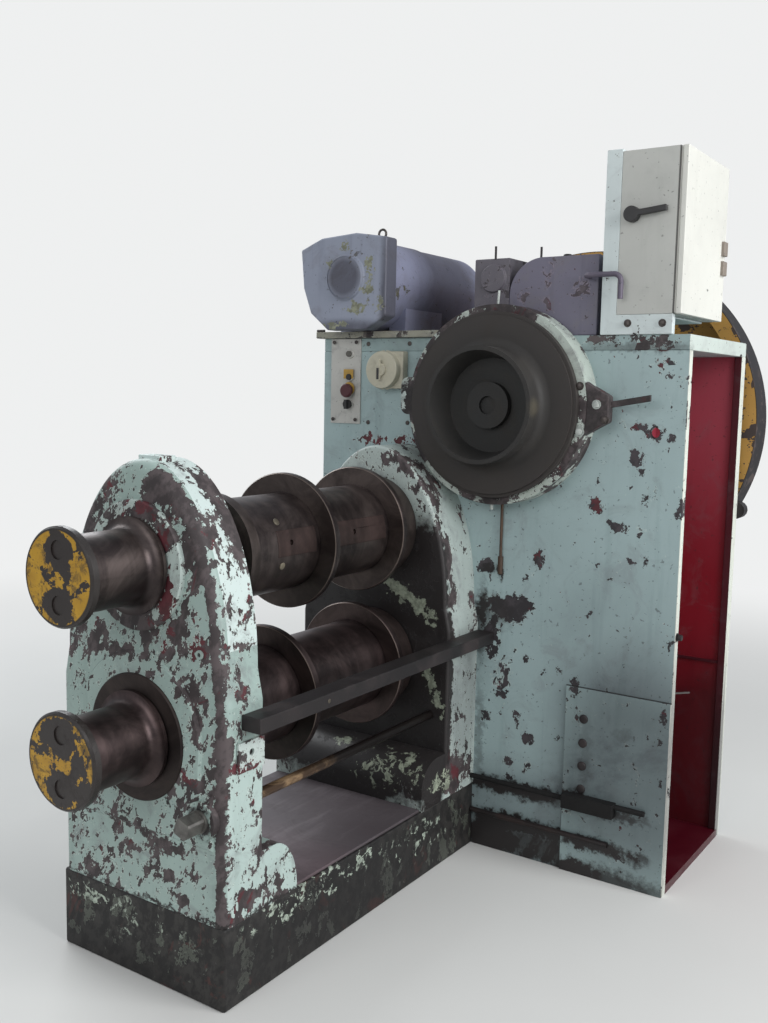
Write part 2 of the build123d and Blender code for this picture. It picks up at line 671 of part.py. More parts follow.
def clutch_housing():
    """Round pot wall standing out of the front plate and above its top edge, with a small lug."""
    front = FRAME_FRONT - CLUTCH_DEPTH
    ring = rod_y(CLUTCH_X, CLUTCH_Z, CLUTCH_RADIUS, front, FRAME_FRONT)
    lug_left = CLUTCH_X - CLUTCH_RADIUS - CLUTCH_LUG_WIDTH / 2
    lug = block(lug_left, lug_left + CLUTCH_LUG_WIDTH, front, front + CLUTCH_LUG_DEPTH,
                CLUTCH_Z + CLUTCH_LUG_RISE - CLUTCH_LUG_HEIGHT / 2,
                CLUTCH_Z + CLUTCH_LUG_RISE + CLUTCH_LUG_HEIGHT / 2)
    ring += fillet(lug.edges().filter_by(Axis.Y).group_by(Axis.X)[0], CLUTCH_LUG_ROUND)
    inner = CLUTCH_RADIUS - CLUTCH_WALL
    return ring - rod_y(CLUTCH_X, CLUTCH_Z, inner, front - OVERCUT, FRAME_FRONT - PLATE)


def clutch_cover():
    """Dark cover turned in one piece: stepped rim, flared drum and a hub deep in its mouth."""
    back = FRAME_FRONT - CLUTCH_DEPTH
    rim = back - CLUTCH_COVER_THICKNESS
    step = rim - CLUTCH_RIM_STEP
    mouth = rim - CLUTCH_DRUM_LENGTH
    floor = back - CLUTCH_FLOOR
    hub = floor - CLUTCH_HUB_RISE
    root = CLUTCH_DRUM_RADIUS + CLUTCH_DRUM_FLARE
    shoulder = CLUTCH_COVER_RADIUS - CLUTCH_RIM_WIDTH
    inner = CLUTCH_DRUM_RADIUS - CLUTCH_DRUM_WALL
    face = Polyline(
        (0, back),
        (0, hub + CLUTCH_HUB_RISE / 2),
        (CLUTCH_HUB_EYE, hub + CLUTCH_HUB_RISE / 2),
        (CLUTCH_HUB_EYE, hub),
        (CLUTCH_HUB_RADIUS, hub),
        (CLUTCH_HUB_RADIUS, floor),
        (inner - CLUTCH_DRUM_TAPER, floor),
        (inner, mouth),
        (CLUTCH_DRUM_RADIUS, mouth),
        (CLUTCH_DRUM_RADIUS, step - CLUTCH_DRUM_FLARE),
    )
    flare = RadiusArc((CLUTCH_DRUM_RADIUS, step - CLUTCH_DRUM_FLARE), (root, step), CLUTCH_DRUM_FLARE)
    edge = Polyline((root, step), (shoulder, step), (shoulder, rim), (CLUTCH_COVER_RADIUS, rim),
                    (CLUTCH_COVER_RADIUS, back), (0, back))
    return turned_y(make_face(face.edges() + flare.edges() + edge.edges()), CLUTCH_X, CLUTCH_Z)


def clutch_bracket():
    """Ear on the rim of the clutch housing that carries a short flat lever."""
    tip_x = CLUTCH_X + CLUTCH_RADIUS + EAR_REACH
    root_x = CLUTCH_X + CLUTCH_RADIUS - EAR_REACH
    middle = CLUTCH_Z - EAR_DROP
    ear = make_face(Polyline(
        (root_x, middle - EAR_ROOT / 2),
        (tip_x, middle - EAR_TIP / 2),
        (tip_x, middle + EAR_TIP / 2),
        (root_x, middle + EAR_ROOT / 2),
        close=True,
    ))
    ear = fillet(ear.vertices().group_by(Axis.X)[-1], EAR_ROUND)
    front = FRAME_FRONT - CLUTCH_DEPTH
    body = slab(ear, front, front + EAR_THICKNESS)
    body -= rod_y(CLUTCH_X, CLUTCH_Z, CLUTCH_RADIUS + SEAT_GAP, front - OVERCUT, FRAME_FRONT)
    lever_z = CLUTCH_Z + LEVER_RISE
    lever_end = tip_x + LEVER_LENGTH
    lever = make_face(Polyline(
        (tip_x - EAR_TIP / 2, lever_z - LEVER_ROOT),
        (lever_end, lever_z),
        (lever_end, lever_z + LEVER_TIP),
        (tip_x - EAR_TIP / 2, lever_z - LEVER_ROOT / 3),
        close=True,
    ))
    y0 = front + LEVER_SET_BACK
    return body + slab(lever, y0, y0 + LEVER_THICKNESS)


def flywheel():
    """Flywheel with a deep rim, a thin web, a hub and its shaft end."""
    y0 = FRAME_BACK + FLYWHEEL_GAP
    y1 = y0 + FLYWHEEL_WIDTH
    web0 = (y0 + y1 - FLYWHEEL_WEB) / 2
    web1 = web0 + FLYWHEEL_WEB
    hub0 = y0 - FLYWHEEL_HUB_PROUD
    hub1 = y1 + FLYWHEEL_HUB_PROUD
    rim_inner = FLYWHEEL_RADIUS - FLYWHEEL_RIM
    shaft_front = FRAME_BACK - PLATE - FLYWHEEL_SHAFT_REACH
    profile = Polyline(
        (0, shaft_front),
        (FLYWHEEL_SHAFT_RADIUS, shaft_front),
        (FLYWHEEL_SHAFT_RADIUS, hub0),
        (FLYWHEEL_HUB_RADIUS, hub0),
        (FLYWHEEL_HUB_RADIUS, web0),
        (rim_inner, web0),
        (rim_inner, y0),
        (FLYWHEEL_RADIUS, y0),
        (FLYWHEEL_RADIUS, y1),
        (rim_inner, y1),
        (rim_inner, web1),
        (FLYWHEEL_HUB_RADIUS, web1),
        (FLYWHEEL_HUB_RADIUS, hub1),
        (0, hub1),
        close=True,
    )
    return turned_y(make_face(profile), FLYWHEEL_X, FLYWHEEL_Z)


def flywheel_bearing():
    """Bearing boss on the back plate."""
    y1 = FRAME_BACK + FLYWHEEL_GAP - FLYWHEEL_HUB_PROUD - RUNNING_GAP
    boss = rod_y(FLYWHEEL_X, FLYWHEEL_Z, BEARING_BOSS_RADIUS, FRAME_BACK, y1)
    bore = FLYWHEEL_SHAFT_RADIUS + JOURNAL_GAP
    return boss - rod_y(FLYWHEEL_X, FLYWHEEL_Z, bore, FRAME_BACK - OVERCUT, y1 + OVERCUT)


def motor_base():
    """Plate under the motor, with a small lip over the front plate."""
    left = MOTOR_X - MOTOR_WIDTH / 2
    right = MOTOR_X + MOTOR_WIDTH / 2 + MOTOR_BASE_MARGIN
    z1 = FRAME_HEIGHT + MOTOR_BASE_THICKNESS
    return block(left, right, FRAME_FRONT - MOTOR_BASE_LIP, FRAME_BACK - MOTOR_BASE_SHORT, FRAME_HEIGHT, z1)


def motor_shield():
    """Many-cornered front shield with a round cap."""
    z0 = FRAME_HEIGHT + MOTOR_BASE_THICKNESS
    front = FRAME_FRONT - MOTOR_OVERHANG
    half = MOTOR_WIDTH / 2
    corners = [
        (-1.00, 0.86),
        (-0.50, 0.97),
        (0.30, 1.00),
        (1.00, 0.94),
        (1.00, 0.14),
        (0.55, 0.00),
        (-0.35, 0.00),
        (-0.75, 0.18),
        (-0.93, 0.45),
    ]
    points = [(MOTOR_X + half * across, z0 + MOTOR_HEIGHT * up) for across, up in corners]
    body = slab(make_face(Polyline(*points, close=True)), front, front + MOTOR_SHIELD_DEPTH)
    cap_z = z0 + MOTOR_HEIGHT / 2 + MOTOR_CAP_RISE
    cap = rod_y(MOTOR_X + MOTOR_CAP_SHIFT, cap_z, MOTOR_CAP_RADIUS, front - MOTOR_CAP_DEPTH, front + WELD)
    return body + chamfer(cap.faces().sort_by(Axis.Y)[0].edges(), MOTOR_CAP_DEPTH / 3)


def motor_body():
    """Round stator housing with a front band and a rear bell, on two feet behind the shield."""
    z0 = FRAME_HEIGHT + MOTOR_BASE_THICKNESS
    centre = z0 + MOTOR_HEIGHT / 2
    front = FRAME_FRONT - MOTOR_OVERHANG + MOTOR_SHIELD_DEPTH
    stator_end = front + MOTOR_BODY_LENGTH
    bell = MOTOR_BODY_RADIUS - MOTOR_BELL_INSET
    body = rod_y(MOTOR_X, centre, MOTOR_BODY_RADIUS + MOTOR_BAND_RISE, front, front + MOTOR_BAND_WIDTH)
    body += rod_y(MOTOR_X, centre, MOTOR_BODY_RADIUS, front, stator_end)
    body += rod_y(MOTOR_X, centre, bell, stator_end - WELD, stator_end + MOTOR_BELL_LENGTH)
    foot_front = FRAME_FRONT + MOTOR_FOOT_SET_BACK - RUNNING_GAP
    foot_back = foot_front + MOTOR_FOOT_LENGTH - MOTOR_FOOT_SET_BACK
    for side in (-1, 1):
        x = MOTOR_X + side * MOTOR_FOOT_SPREAD
        body += block(x - MOTOR_FOOT_WIDTH / 2, x + MOTOR_FOOT_WIDTH / 2, foot_front, foot_back,
                      z0, centre - MOTOR_BODY_RADIUS / 2)
    return body


def eye_bolt():
    """Lifting eye on the motor, bent from eight-sided bar."""
    z0 = FRAME_HEIGHT + MOTOR_BASE_THICKNESS + MOTOR_HEIGHT / 2 + MOTOR_BODY_RADIUS + SEAT_GAP
    y = FRAME_FRONT - MOTOR_OVERHANG + MOTOR_SHIELD_DEPTH + EYE_SET_BACK
    section = Pos(EYE_RADIUS, 0) * RegularPolygon(EYE_BAR, 8)
    ring = revolve(section, Axis.Y)
    return Pos(MOTOR_X, y, z0 + EYE_STEM_LENGTH + EYE_RADIUS) * ring + rod_z(
        MOTOR_X, y, EYE_STEM_RADIUS, z0, z0 + EYE_STEM_LENGTH)


def junction_box():
    """Small box beside the guard with a round glass."""
    x1 = JUNCTION_LEFT + JUNCTION_WIDTH
    body = block(JUNCTION_LEFT, x1, GUARD_FRONT, GUARD_FRONT + JUNCTION_DEPTH, FRAME_HEIGHT, GUARD_TOP)
    x = (JUNCTION_LEFT + x1) / 2 + GLASS_SHIFT
    glass_front = GUARD_FRONT - GLASS_PROUD
    return body + rod_y(x, GUARD_TOP - GLASS_DROP, GLASS_RADIUS, glass_front, GUARD_FRONT + WELD)


def belt_guard():
    """Guard on top of the frame with one rounded shoulder."""
    top = GUARD_TOP - GUARD_DROP
    body = block(GUARD_LEFT, GUARD_RIGHT, GUARD_FRONT, GUARD_FRONT + GUARD_DEPTH, FRAME_HEIGHT, top)
    shoulder = body.edges().filter_by(Axis.Y).group_by(Axis.Z)[-1].sort_by(Axis.X)[0]
    return fillet(shoulder, GUARD_CORNER)


def hook_pipe():
    """Bent pipe from the guard's face, turned down in front of the cabinet."""
    x0 = GUARD_RIGHT - HOOK_START
    x1 = x0 + HOOK_REACH
    y0 = GUARD_FRONT - SEAT_GAP
    y1 = FRAME_FRONT - HOOK_STAND_OFF
    z = GUARD_TOP - HOOK_DROP_FROM_TOP
    path = FilletPolyline((x0, y0, z), (x0, y1, z), (x1, y1, z), (x1, y1, z - HOOK_DROP), radius=HOOK_BEND)
    start = Plane(origin=path @ 0, z_dir=path % 0)
    return sweep(start * RegularPolygon(HOOK_PIPE_RADIUS, HOOK_PIPE_SIDES), path=path)


def cabinet_post():
    """Upright behind the cabinet, the foot plate in front and the shelf under the box."""
    x0 = CABINET_BACK_X - POST_WIDTH
    top = CABINET_TOP + POST_PROUD
    shelf_back = CABINET_FRONT + POST_DEPTH
    post = block(x0, CABINET_BACK_X, CABINET_FRONT, shelf_back, FRAME_HEIGHT, top)
    foot_back = CABINET_FRONT + FOOT_PLATE
    foot = block(x0, CABINET_FACE_X, CABINET_FRONT, foot_back, FRAME_HEIGHT, CABINET_BOTTOM)
    shelf = block(x0, CABINET_FACE_X - SHELF_SHORT, CABINET_FRONT, shelf_back,
                  CABINET_BOTTOM - SHELF, CABINET_BOTTOM)
    return post + foot + shelf


def cabinet_body():
    """Sheet-metal box open towards its door."""
    wall = CABINET_WALL
    body = block(CABINET_BACK_X, CABINET_FACE_X, CABINET_FRONT, CABINET_END, CABINET_BOTTOM, CABINET_TOP)
    return body - block(CABINET_BACK_X + wall, CABINET_FACE_X + OVERCUT, CABINET_FRONT + wall,
                        CABINET_END - wall, CABINET_BOTTOM + wall, CABINET_TOP - wall)


def cabinet_door():
    """Flat door pan with a set-back seam all round and two latches."""
    x0 = CABINET_FACE_X + DOOR_GAP
    x1 = x0 + DOOR_THICKNESS
    lip = CABINET_WALL / 2
    hollow = lip + DOOR_RETURN
    pan = block(x0 + DOOR_SEAM, x1, CABINET_FRONT, CABINET_END, CABINET_BOTTOM, CABINET_TOP)
    pan += block(x0, x0 + DOOR_SEAM + WELD, CABINET_FRONT + lip, CABINET_END - lip,
                 CABINET_BOTTOM + lip, CABINET_TOP - lip)
    pan -= block(x0 - OVERCUT, x1 - DOOR_RETURN, CABINET_FRONT + hollow, CABINET_END - hollow,
                 CABINET_BOTTOM + hollow, CABINET_TOP - hollow)
    latch_end = CABINET_END - LATCH_MARGIN
    for rise in LATCH_RISES:
        z = CABINET_BOTTOM + rise
        pan += block(x1 - WELD, x1 + LATCH_PROUD, latch_end - LATCH_WIDTH, latch_end,
                     z - LATCH_HEIGHT / 2, z + LATCH_HEIGHT / 2)
    return pan


def isolator_handle():
    """Rotary isolator handle on the cabinet's side."""
    face = CABINET_FRONT - SEAT_GAP
    front = face - ISOLATOR_DEPTH
    half = ISOLATOR_LEVER_WIDTH / 2
    boss = rod_y(0, 0, ISOLATOR_RADIUS, front, face)
    lever = block(0, ISOLATOR_LEVER, front, front + ISOLATOR_LEVER_DEPTH, -half, half)
    handle = Rot(0, -ISOLATOR_TILT, 0) * (boss + lever)
    return Pos(CABINET_BACK_X + ISOLATOR_INSET, 0, CABINET_BOTTOM + ISOLATOR_RISE) * handle


def button_panel():
    """Plate with the collars of the push-button devices."""
    half = PANEL_WIDTH / 2
    bottom = PANEL_TOP - PANEL_HEIGHT
    plate = block(PANEL_X - half, PANEL_X + half, PANEL_FACE, FRAME_FRONT, bottom, PANEL_TOP)
    for z in (LAMP_Z, START_Z, STOP_Z, SELECTOR_Z):
        plate += rod_y(DEVICE_X, z, DEVICE_COLLAR_RADIUS, DEVICE_FACE, PANEL_FACE + WELD)
    for z in (START_Z, STOP_Z, SELECTOR_Z):
        plate -= rod_y(DEVICE_X, z, BUTTON_RADIUS + JOURNAL_GAP, DEVICE_FACE - OVERCUT, FRAME_FRONT - WELD)
    return plate


def indicator_lamp():
    """Round lamp lens."""
    return rod_y(DEVICE_X, LAMP_Z, BUTTON_RADIUS, DEVICE_FACE - DEVICE_COLLAR_DEPTH, DEVICE_FACE)


def start_button():
    """Plain push button in its collar."""
    return rod_y(DEVICE_X, START_Z, BUTTON_RADIUS, DEVICE_FACE - BUTTON_PROUD, PANEL_FACE - BUTTON_TRAVEL)


def stop_button():
    """Mushroom push button."""
    stem_front = DEVICE_FACE - 2 * BUTTON_PROUD
    stem = rod_y(DEVICE_X, STOP_Z, BUTTON_RADIUS, stem_front, PANEL_FACE - BUTTON_TRAVEL)
    head = rod_y(DEVICE_X, STOP_Z, MUSHROOM_RADIUS, stem_front - MUSHROOM_HEIGHT, stem_front)
    return stem + chamfer(head.faces().sort_by(Axis.Y)[0].edges(), MUSHROOM_HEIGHT / 3)


def selector_knob():
    """Selector head on its stem, with a raised grip across it."""
    back = DEVICE_FACE - BUTTON_PROUD
    face = back - GRIP_HEIGHT
    half = GRIP_WIDTH / 2
    stem = rod_y(DEVICE_X, SELECTOR_Z, BUTTON_RADIUS, back, PANEL_FACE - BUTTON_TRAVEL)
    head = rod_y(DEVICE_X, SELECTOR_Z, SELECTOR_RADIUS, face, back + WELD)
    grip = block(DEVICE_X - half, DEVICE_X + half, face - GRIP_HEIGHT, face + WELD,
                 SELECTOR_Z - SELECTOR_RADIUS, SELECTOR_Z + SELECTOR_RADIUS)
    return stem + head + grip


def rotary_switch_body():
    """Round switch housing on a square back box."""
    box = block(SWITCH_X - SWITCH_BOX_LEFT, SWITCH_X + SWITCH_BOX_REACH, FRAME_FRONT - SWITCH_BOX_DEPTH,
                FRAME_FRONT, SWITCH_Z - SWITCH_RADIUS, SWITCH_Z + SWITCH_RADIUS)
    drum = rod_y(SWITCH_X, SWITCH_Z, SWITCH_RADIUS, FRAME_FRONT - SWITCH_DEPTH, FRAME_FRONT)
    return box + drum


def rotary_knob():
    """Pointer knob of the round switch."""
    y1 = FRAME_FRONT - SWITCH_DEPTH - SEAT_GAP
    y0 = y1 - KNOB_DEPTH
    hub = rod_y(SWITCH_X, SWITCH_Z, KNOB_RADIUS, y0, y1)
    half = POINTER_WIDTH / 2
    reach = POINTER_LENGTH / 2
    return hub + block(SWITCH_X - half, SWITCH_X + half, y0 - KNOB_DEPTH, y0 + WELD,
                       SWITCH_Z - reach, SWITCH_Z + reach)


def upper_pipe():
    """Pipe along the foot of the front plate, with a valve block."""
    y = FRAME_FRONT - PIPE_STAND_OFF
    plate_face = FRAME_FRONT - COVER_PLATE_THICKNESS
    valve_left = COVER_PLATE_LEFT + VALVE_SHIFT
    valve_right = valve_left + VALVE_LENGTH
    pipe = rod_x(y, UPPER_PIPE_Z, PIPE_RADIUS, BED_WIDTH / 2 + SEAT_GAP, valve_left + WELD)
    valve = block(valve_left, valve_right, plate_face - VALVE_DEPTH, plate_face,
                  UPPER_PIPE_Z - VALVE_HEIGHT / 2, UPPER_PIPE_Z + VALVE_HEIGHT / 2)
    tail = rod_x(y, UPPER_PIPE_Z + TAIL_RISE, PIPE_RADIUS, valve_right - WELD, valve_right + TAIL_LENGTH)
    return pipe + valve + tail


def lower_pipe():
    """Second pipe nearer the floor."""
    y = FRAME_FRONT - COVER_PLATE_THICKNESS - PIPE_RADIUS - SEAT_GAP
    x0 = BED_WIDTH / 2 + PIPE_START_GAP
    return rod_x(y, LOWER_PIPE_Z, PIPE_RADIUS, x0, COVER_PLATE_LEFT + LOWER_PIPE_END)


def oil_line():
    """Thin drip pipe with a nozzle under the clutch housing."""
    x = CLUTCH_X + OIL_LINE_SHIFT
    top = CLUTCH_Z - CLUTCH_RADIUS - SEAT_GAP
    bottom = top - OIL_LINE_LENGTH
    y = FRAME_FRONT - OIL_NOZZLE_RADIUS - SEAT_GAP
    pipe = rod_z(x, y, OIL_LINE_RADIUS, bottom, top)
    return pipe + rod_z(x, y, OIL_NOZZLE_RADIUS, bottom, bottom + OIL_NOZZLE_LENGTH)


front_key_span, rear_key_span = key_spans()
upper_shaft = roll_shaft(UPPER_SHAFT_Z, UPPER_MID_FLANGE)
for span in (front_key_span, rear_key_span):
    upper_shaft -= key_slot(UPPER_SHAFT_Z, *span)

save("bed_casting", bed_casting())
save("bed_top_plate", bed_top_plate())
save("outboard_stand", outboard_stand())
save("stand_tab", stand_tab())
save("upper_bearing_cover", bearing_cover(UPPER_SHAFT_Z))
save("lower_bearing_cover", bearing_cover(LOWER_SHAFT_Z))
save("inboard_housing", inboard_housing())
save("upper_roll_shaft", upper_shaft)
save("lower_roll_shaft", roll_shaft(LOWER_SHAFT_Z, LOWER_MID_FLANGE))
save("front_seat_key", seat_key(UPPER_SHAFT_Z, *front_key_span))
save("rear_seat_key", seat_key(UPPER_SHAFT_Z, *rear_key_span))
save("upper_end_disc", end_disc(UPPER_SHAFT_Z))
save("lower_end_disc", end_disc(LOWER_SHAFT_Z))
save("adjusting_shaft", adjusting_shaft())
save("tie_bar", tie_bar())
save("frame_front_plate", frame_front_plate())
save("frame_back_plate", frame_back_plate())
save("frame_left_wall", frame_left_wall())
save("frame_recess_wall", frame_recess_wall())
save("frame_floor_plate", frame_floor_plate())
save("frame_top_plate", frame_top_plate())
save("lower_cover_plate", lower_cover_plate())
save("clutch_housing", clutch_housing())
save("clutch_cover", clutch_cover())
save("clutch_bracket", clutch_bracket())
save("flywheel", flywheel())
save("flywheel_bearing", flywheel_bearing())
save("motor_base", motor_base())
save("motor_shield", motor_shield())
save("motor_body", motor_body())
save("eye_bolt", eye_bolt())
save("junction_box", junction_box())
save("belt_guard", belt_guard())
save("hook_pipe", hook_pipe())
save("cabinet_post", cabinet_post())
save("cabinet_body", cabinet_body())
save("cabinet_door", cabinet_door())
save("isolator_handle", isolator_handle())
save("button_panel", button_panel())
save("indicator_lamp", indicator_lamp())
save("start_button", start_button())
save("stop_button", stop_button())
save("selector_knob", selector_knob())
save("rotary_switch_body", rotary_switch_body())
save("rotary_knob", rotary_knob())
save("upper_pipe", upper_pipe())
save("lower_pipe", lower_pipe())
save("oil_line", oil_line())
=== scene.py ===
"""Roll forging machine: finishes, fasteners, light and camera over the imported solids.

Metres, X to the right along the front, Y from the outboard stand to the frame, Z up.
"""
import json
import math
import random
import bpy
from mathutils import Matrix, Vector


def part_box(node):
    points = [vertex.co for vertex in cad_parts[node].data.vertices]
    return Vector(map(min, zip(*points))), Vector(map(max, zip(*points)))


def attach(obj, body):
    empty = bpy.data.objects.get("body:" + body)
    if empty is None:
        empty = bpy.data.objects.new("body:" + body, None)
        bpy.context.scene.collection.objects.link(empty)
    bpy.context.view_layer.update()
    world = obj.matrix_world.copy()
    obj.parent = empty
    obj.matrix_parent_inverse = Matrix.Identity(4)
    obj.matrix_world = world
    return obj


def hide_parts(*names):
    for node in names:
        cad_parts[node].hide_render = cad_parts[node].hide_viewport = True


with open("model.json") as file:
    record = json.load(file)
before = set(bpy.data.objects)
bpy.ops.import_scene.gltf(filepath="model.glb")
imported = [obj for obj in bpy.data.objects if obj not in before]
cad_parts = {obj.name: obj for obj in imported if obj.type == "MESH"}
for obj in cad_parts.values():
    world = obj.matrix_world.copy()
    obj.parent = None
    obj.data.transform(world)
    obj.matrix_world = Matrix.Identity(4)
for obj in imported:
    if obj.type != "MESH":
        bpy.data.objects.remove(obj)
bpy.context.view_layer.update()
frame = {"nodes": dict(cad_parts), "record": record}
nodes = frame["nodes"]
record = frame["record"]
random.seed(11)

# The body each node rides on
BODY_OF = {node: body for body, members in record["behaviour"]["bodies"].items() for node in members}

# Places and sizes that several finishes and fasteners share
UPPER_Z = 1.136
LOWER_Z = .676
STAND_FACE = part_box("bed_casting")[0].y
FRAME_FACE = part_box("frame_front_plate")[0].y
FRAME_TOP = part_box("frame_top_plate")[1].z
CLUTCH = Vector((.388, 0, 1.558))
FLYWHEEL = Vector((.402, 0, 1.502))
AXES = [Vector((0, 0, z)) for z in (LOWER_Z, UPPER_Z)]
SEAT_RADIUS = .147
CLUTCH_RING_RADIUS = .32
MOTOR_X = -.217
UPPER_COVER_FACE = -.659
PLATE_IN = .028
# Half widths of the bed and of a bearing casting at its shoulder, height of the shoulder, and rise of the crown
BED_HALF = .3075
SHOULDER_HALF = .29
SHOULDER_Z = .88
CROWN_HEIGHT = .531
FRAME_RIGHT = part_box("frame_front_plate")[1].x
FRAME_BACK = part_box("frame_back_plate")[1].y
BACK_EDGE = FRAME_RIGHT - .0022
DOOR_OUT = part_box("cabinet_door")[1].x
# Painted highlights on the shafts' flanges, where their worn edges catch the light: axis, inner and outer radius,
# share
FLANGE_HIGHLIGHTS = [(axis, *row) for axis in AXES for row in ((.151, .2035, .07), (.2035, .2072, .3))]
ORIGIN = (0, 0, 0)
FRONT = (0, -1, 0)

# Colours, as display values of 0 to 255
MINT = (154, 174, 168)
SUNLIT_MINT = (196, 210, 207)
PALE_MINT = (188, 200, 196)
FRAME_MINT = (148, 168, 168)
BARE_IRON = (52, 45, 46)
WORN_IRON = (81, 72, 73)
PRIMER = (84, 36, 42)
# Painted highlight laid on the lip round each chip in the paint
CHIP_EDGE_HIGHLIGHT = (206, 218, 210)
STAIN = (108, 104, 108)
OIL = (33, 29, 29)
RED = (128, 10, 30)
# Painted shade for the red inside the recess
SHADED_RED = (66, 6, 20)
# Painted highlight on the right-facing edges of the frame's plates
EDGE_HIGHLIGHT = (206, 210, 200)
PLATE_IRON = {"bare": (44, 41, 44), "worn": (64, 58, 62)}


# Node helpers

def put(kind, inputs, tree=None, **settings):
    """Add a node to the tree its inputs come from, set its options, then fill or link its sockets."""
    linked = [value for value in inputs.values() if isinstance(value, bpy.types.NodeSocket)]
    tree = tree or linked[0].id_data
    node = tree.nodes.new("ShaderNode" + kind)
    for name, value in settings.items():
        setattr(node, name, value)
    for key, value in inputs.items():
        if isinstance(value, bpy.types.NodeSocket):
            tree.links.new(value, node.inputs[key])
        else:
            node.inputs[key].default_value = value
    return node


def calc(operation, a, b=0, clamp=False):
    """One step of arithmetic."""
    return put("Math", {0: a, 1: b}, operation=operation, use_clamp=clamp).outputs[0]


def scaled(value, gain, shift=0):
    """Value times a gain, plus a shift."""
    return put("Math", {0: value, 1: gain, 2: shift}, operation="MULTIPLY_ADD").outputs[0]


def vector_calc(operation, a, b=None, output=0):
    """One step of vector arithmetic."""
    sockets = {0: a} if b is None else {0: a, 1: b}
    return put("VectorMath", sockets, operation=operation).outputs[output]


def parts(vector):
    """The three parts of a vector."""
    return put("SeparateXYZ", {0: vector}).outputs


def ease(value, low, high):
    """Smooth step from 0 at low to 1 at high."""
    sockets = {"Value": value, "From Min": low, "From Max": high}
    return put("MapRange", sockets, interpolation_type="SMOOTHSTEP").outputs[0]


def linear(colour):
    """Colour for a socket: three display values are made linear, all else stays."""
    if isinstance(colour, bpy.types.NodeSocket) or len(colour) == 4:
        return colour
    values = (value / 255 for value in colour)
    return (*(value / 12.92 if value <= .04045 else ((value + .055) / 1.055) ** 2.4 for value in values), 1)


def dimmed(colour, share):
    """Darker or lighter version of a colour."""
    return (*(min(1, value * share) for value in linear(colour)[:3]), 1)


def blend(share, first, second, kind="MIX"):
    """Mix of two colours."""
    sockets = {0: share, 6: linear(first), 7: linear(second)}
    return put("Mix", sockets, data_type="RGBA", blend_type=kind).outputs[2]


def layered(colour, *layers):
    """Colours laid over one another, each by its own share."""
    for share, cover in layers:
        colour = blend(share, colour, cover)
    return colour


def cloud(vector, scale, detail=4, roughness=.55, distortion=0):
    """Soft irregular field between 0 and 1."""
    sockets = {"Vector": vector, "Scale": scale, "Detail": detail, "Roughness": roughness, "Distortion": distortion}
    return put("TexNoise", sockets).outputs[0]


def jagged(vector, scale, share):
    """Coordinates drawn towards the middles of small cells, so that edges break into corners."""
    cells = put("TexVoronoi", {"Vector": vector, "Scale": scale}).outputs["Position"]
    return put("Mix", {0: share, 4: vector, 5: cells}, data_type="VECTOR").outputs[1]


def stretched(vector, scale):
    """Coordinates scaled by axis."""
    return put("Mapping", {"Vector": vector, "Scale": scale}).outputs[0]


def shader_group(name, **inputs):
    """Turn a function into a shader group, with a socket for each input and each result."""
    sockets = {"Vector": ORIGIN, **inputs}

    def build(function):
        tree = bpy.data.node_groups.new(name, "ShaderNodeTree")
        for label, value in sockets.items():
            kind = "NodeSocketVector" if isinstance(value, tuple) else "NodeSocketFloat"
            tree.interface.new_socket(label, in_out="INPUT", socket_type=kind).default_value = value
        given = tree.nodes.new("NodeGroupInput").outputs
        result = tree.nodes.new("NodeGroupOutput").inputs
        for label, value in function(*given[:len(sockets)]).items():
            tree.interface.new_socket(label, in_out="OUTPUT", socket_type="NodeSocketFloat")
            tree.links.new(value, result[label])
        return tree
    return build


@shader_group("Flaking paint", Scale=9, Amount=.3, Wear=0)
def flaking(vector, scale, amount, wear):
    """Lost paint in patches, chips and specks: bare metal, a painted highlight on the lip round it, held primer and
    mottling.
    """
    loss = calc("ADD", amount, wear)
    broad = jagged(vector, scaled(scale, 6), .42)
    small = jagged(vector, scaled(scale, 22), .5)
    patches = cloud(broad, scale, 9, .66, .5)
    chips = cloud(small, scaled(scale, 4.6), 5, .62, .3)
    specks = cloud(vector, scaled(scale, 17), 3, .55)
    patches_over = calc("ADD", patches, scaled(loss, .28, -.64))
    chips_over = calc("ADD", chips, scaled(loss, .18, -.68))
    chips_over = calc("ADD", chips_over, scaled(patches, .3, -.15))
    specks_over = calc("ADD", specks, scaled(loss, .12, -.73))
    over = calc("MAXIMUM", calc("MAXIMUM", patches_over, chips_over), specks_over)
    bare = ease(over, -.002, .004)
    lip = calc("SUBTRACT", ease(over, -.022, -.003), bare, clamp=True)
    primer = cloud(vector, scaled(scale, .8), 7, .68, .8)
    mottle = ease(cloud(vector, scaled(scale, 2.6), 5, .68), .42, .6)
    return {"Bare": bare, "Lip": lip, "Primer": primer, "Mottle": mottle}


@shader_group("Worn spot", Centre=ORIGIN, Radii=(.1, .1, .1))
def worn_spot(vector, centre, radii):
    """Egg-shaped place, 1 at its middle and 0 outside."""
    away = vector_calc("DIVIDE", vector_calc("SUBTRACT", vector, centre), radii)
    return {"Mask": ease(vector_calc("LENGTH", away, output="Value"), 1, .35)}


@shader_group("Near edges", Low=ORIGIN, High=(1, 1, 1), Width=.02)
def box_edges(vector, low, high, width):
    """Nearness to the edges of a box, 1 on the edge and 0 beyond the width."""
    below = vector_calc("SUBTRACT", vector, low)
    above = vector_calc("SUBTRACT", high, vector)
    x, y, z = parts(vector_calc("MINIMUM", below, above))
    least = calc("MINIMUM", x, y)
    most = calc("MAXIMUM", x, y)
    middle = calc("MAXIMUM", least, calc("MINIMUM", most, z))
    return {"Mask": ease(calc("DIVIDE", middle, width), 1, 0)}


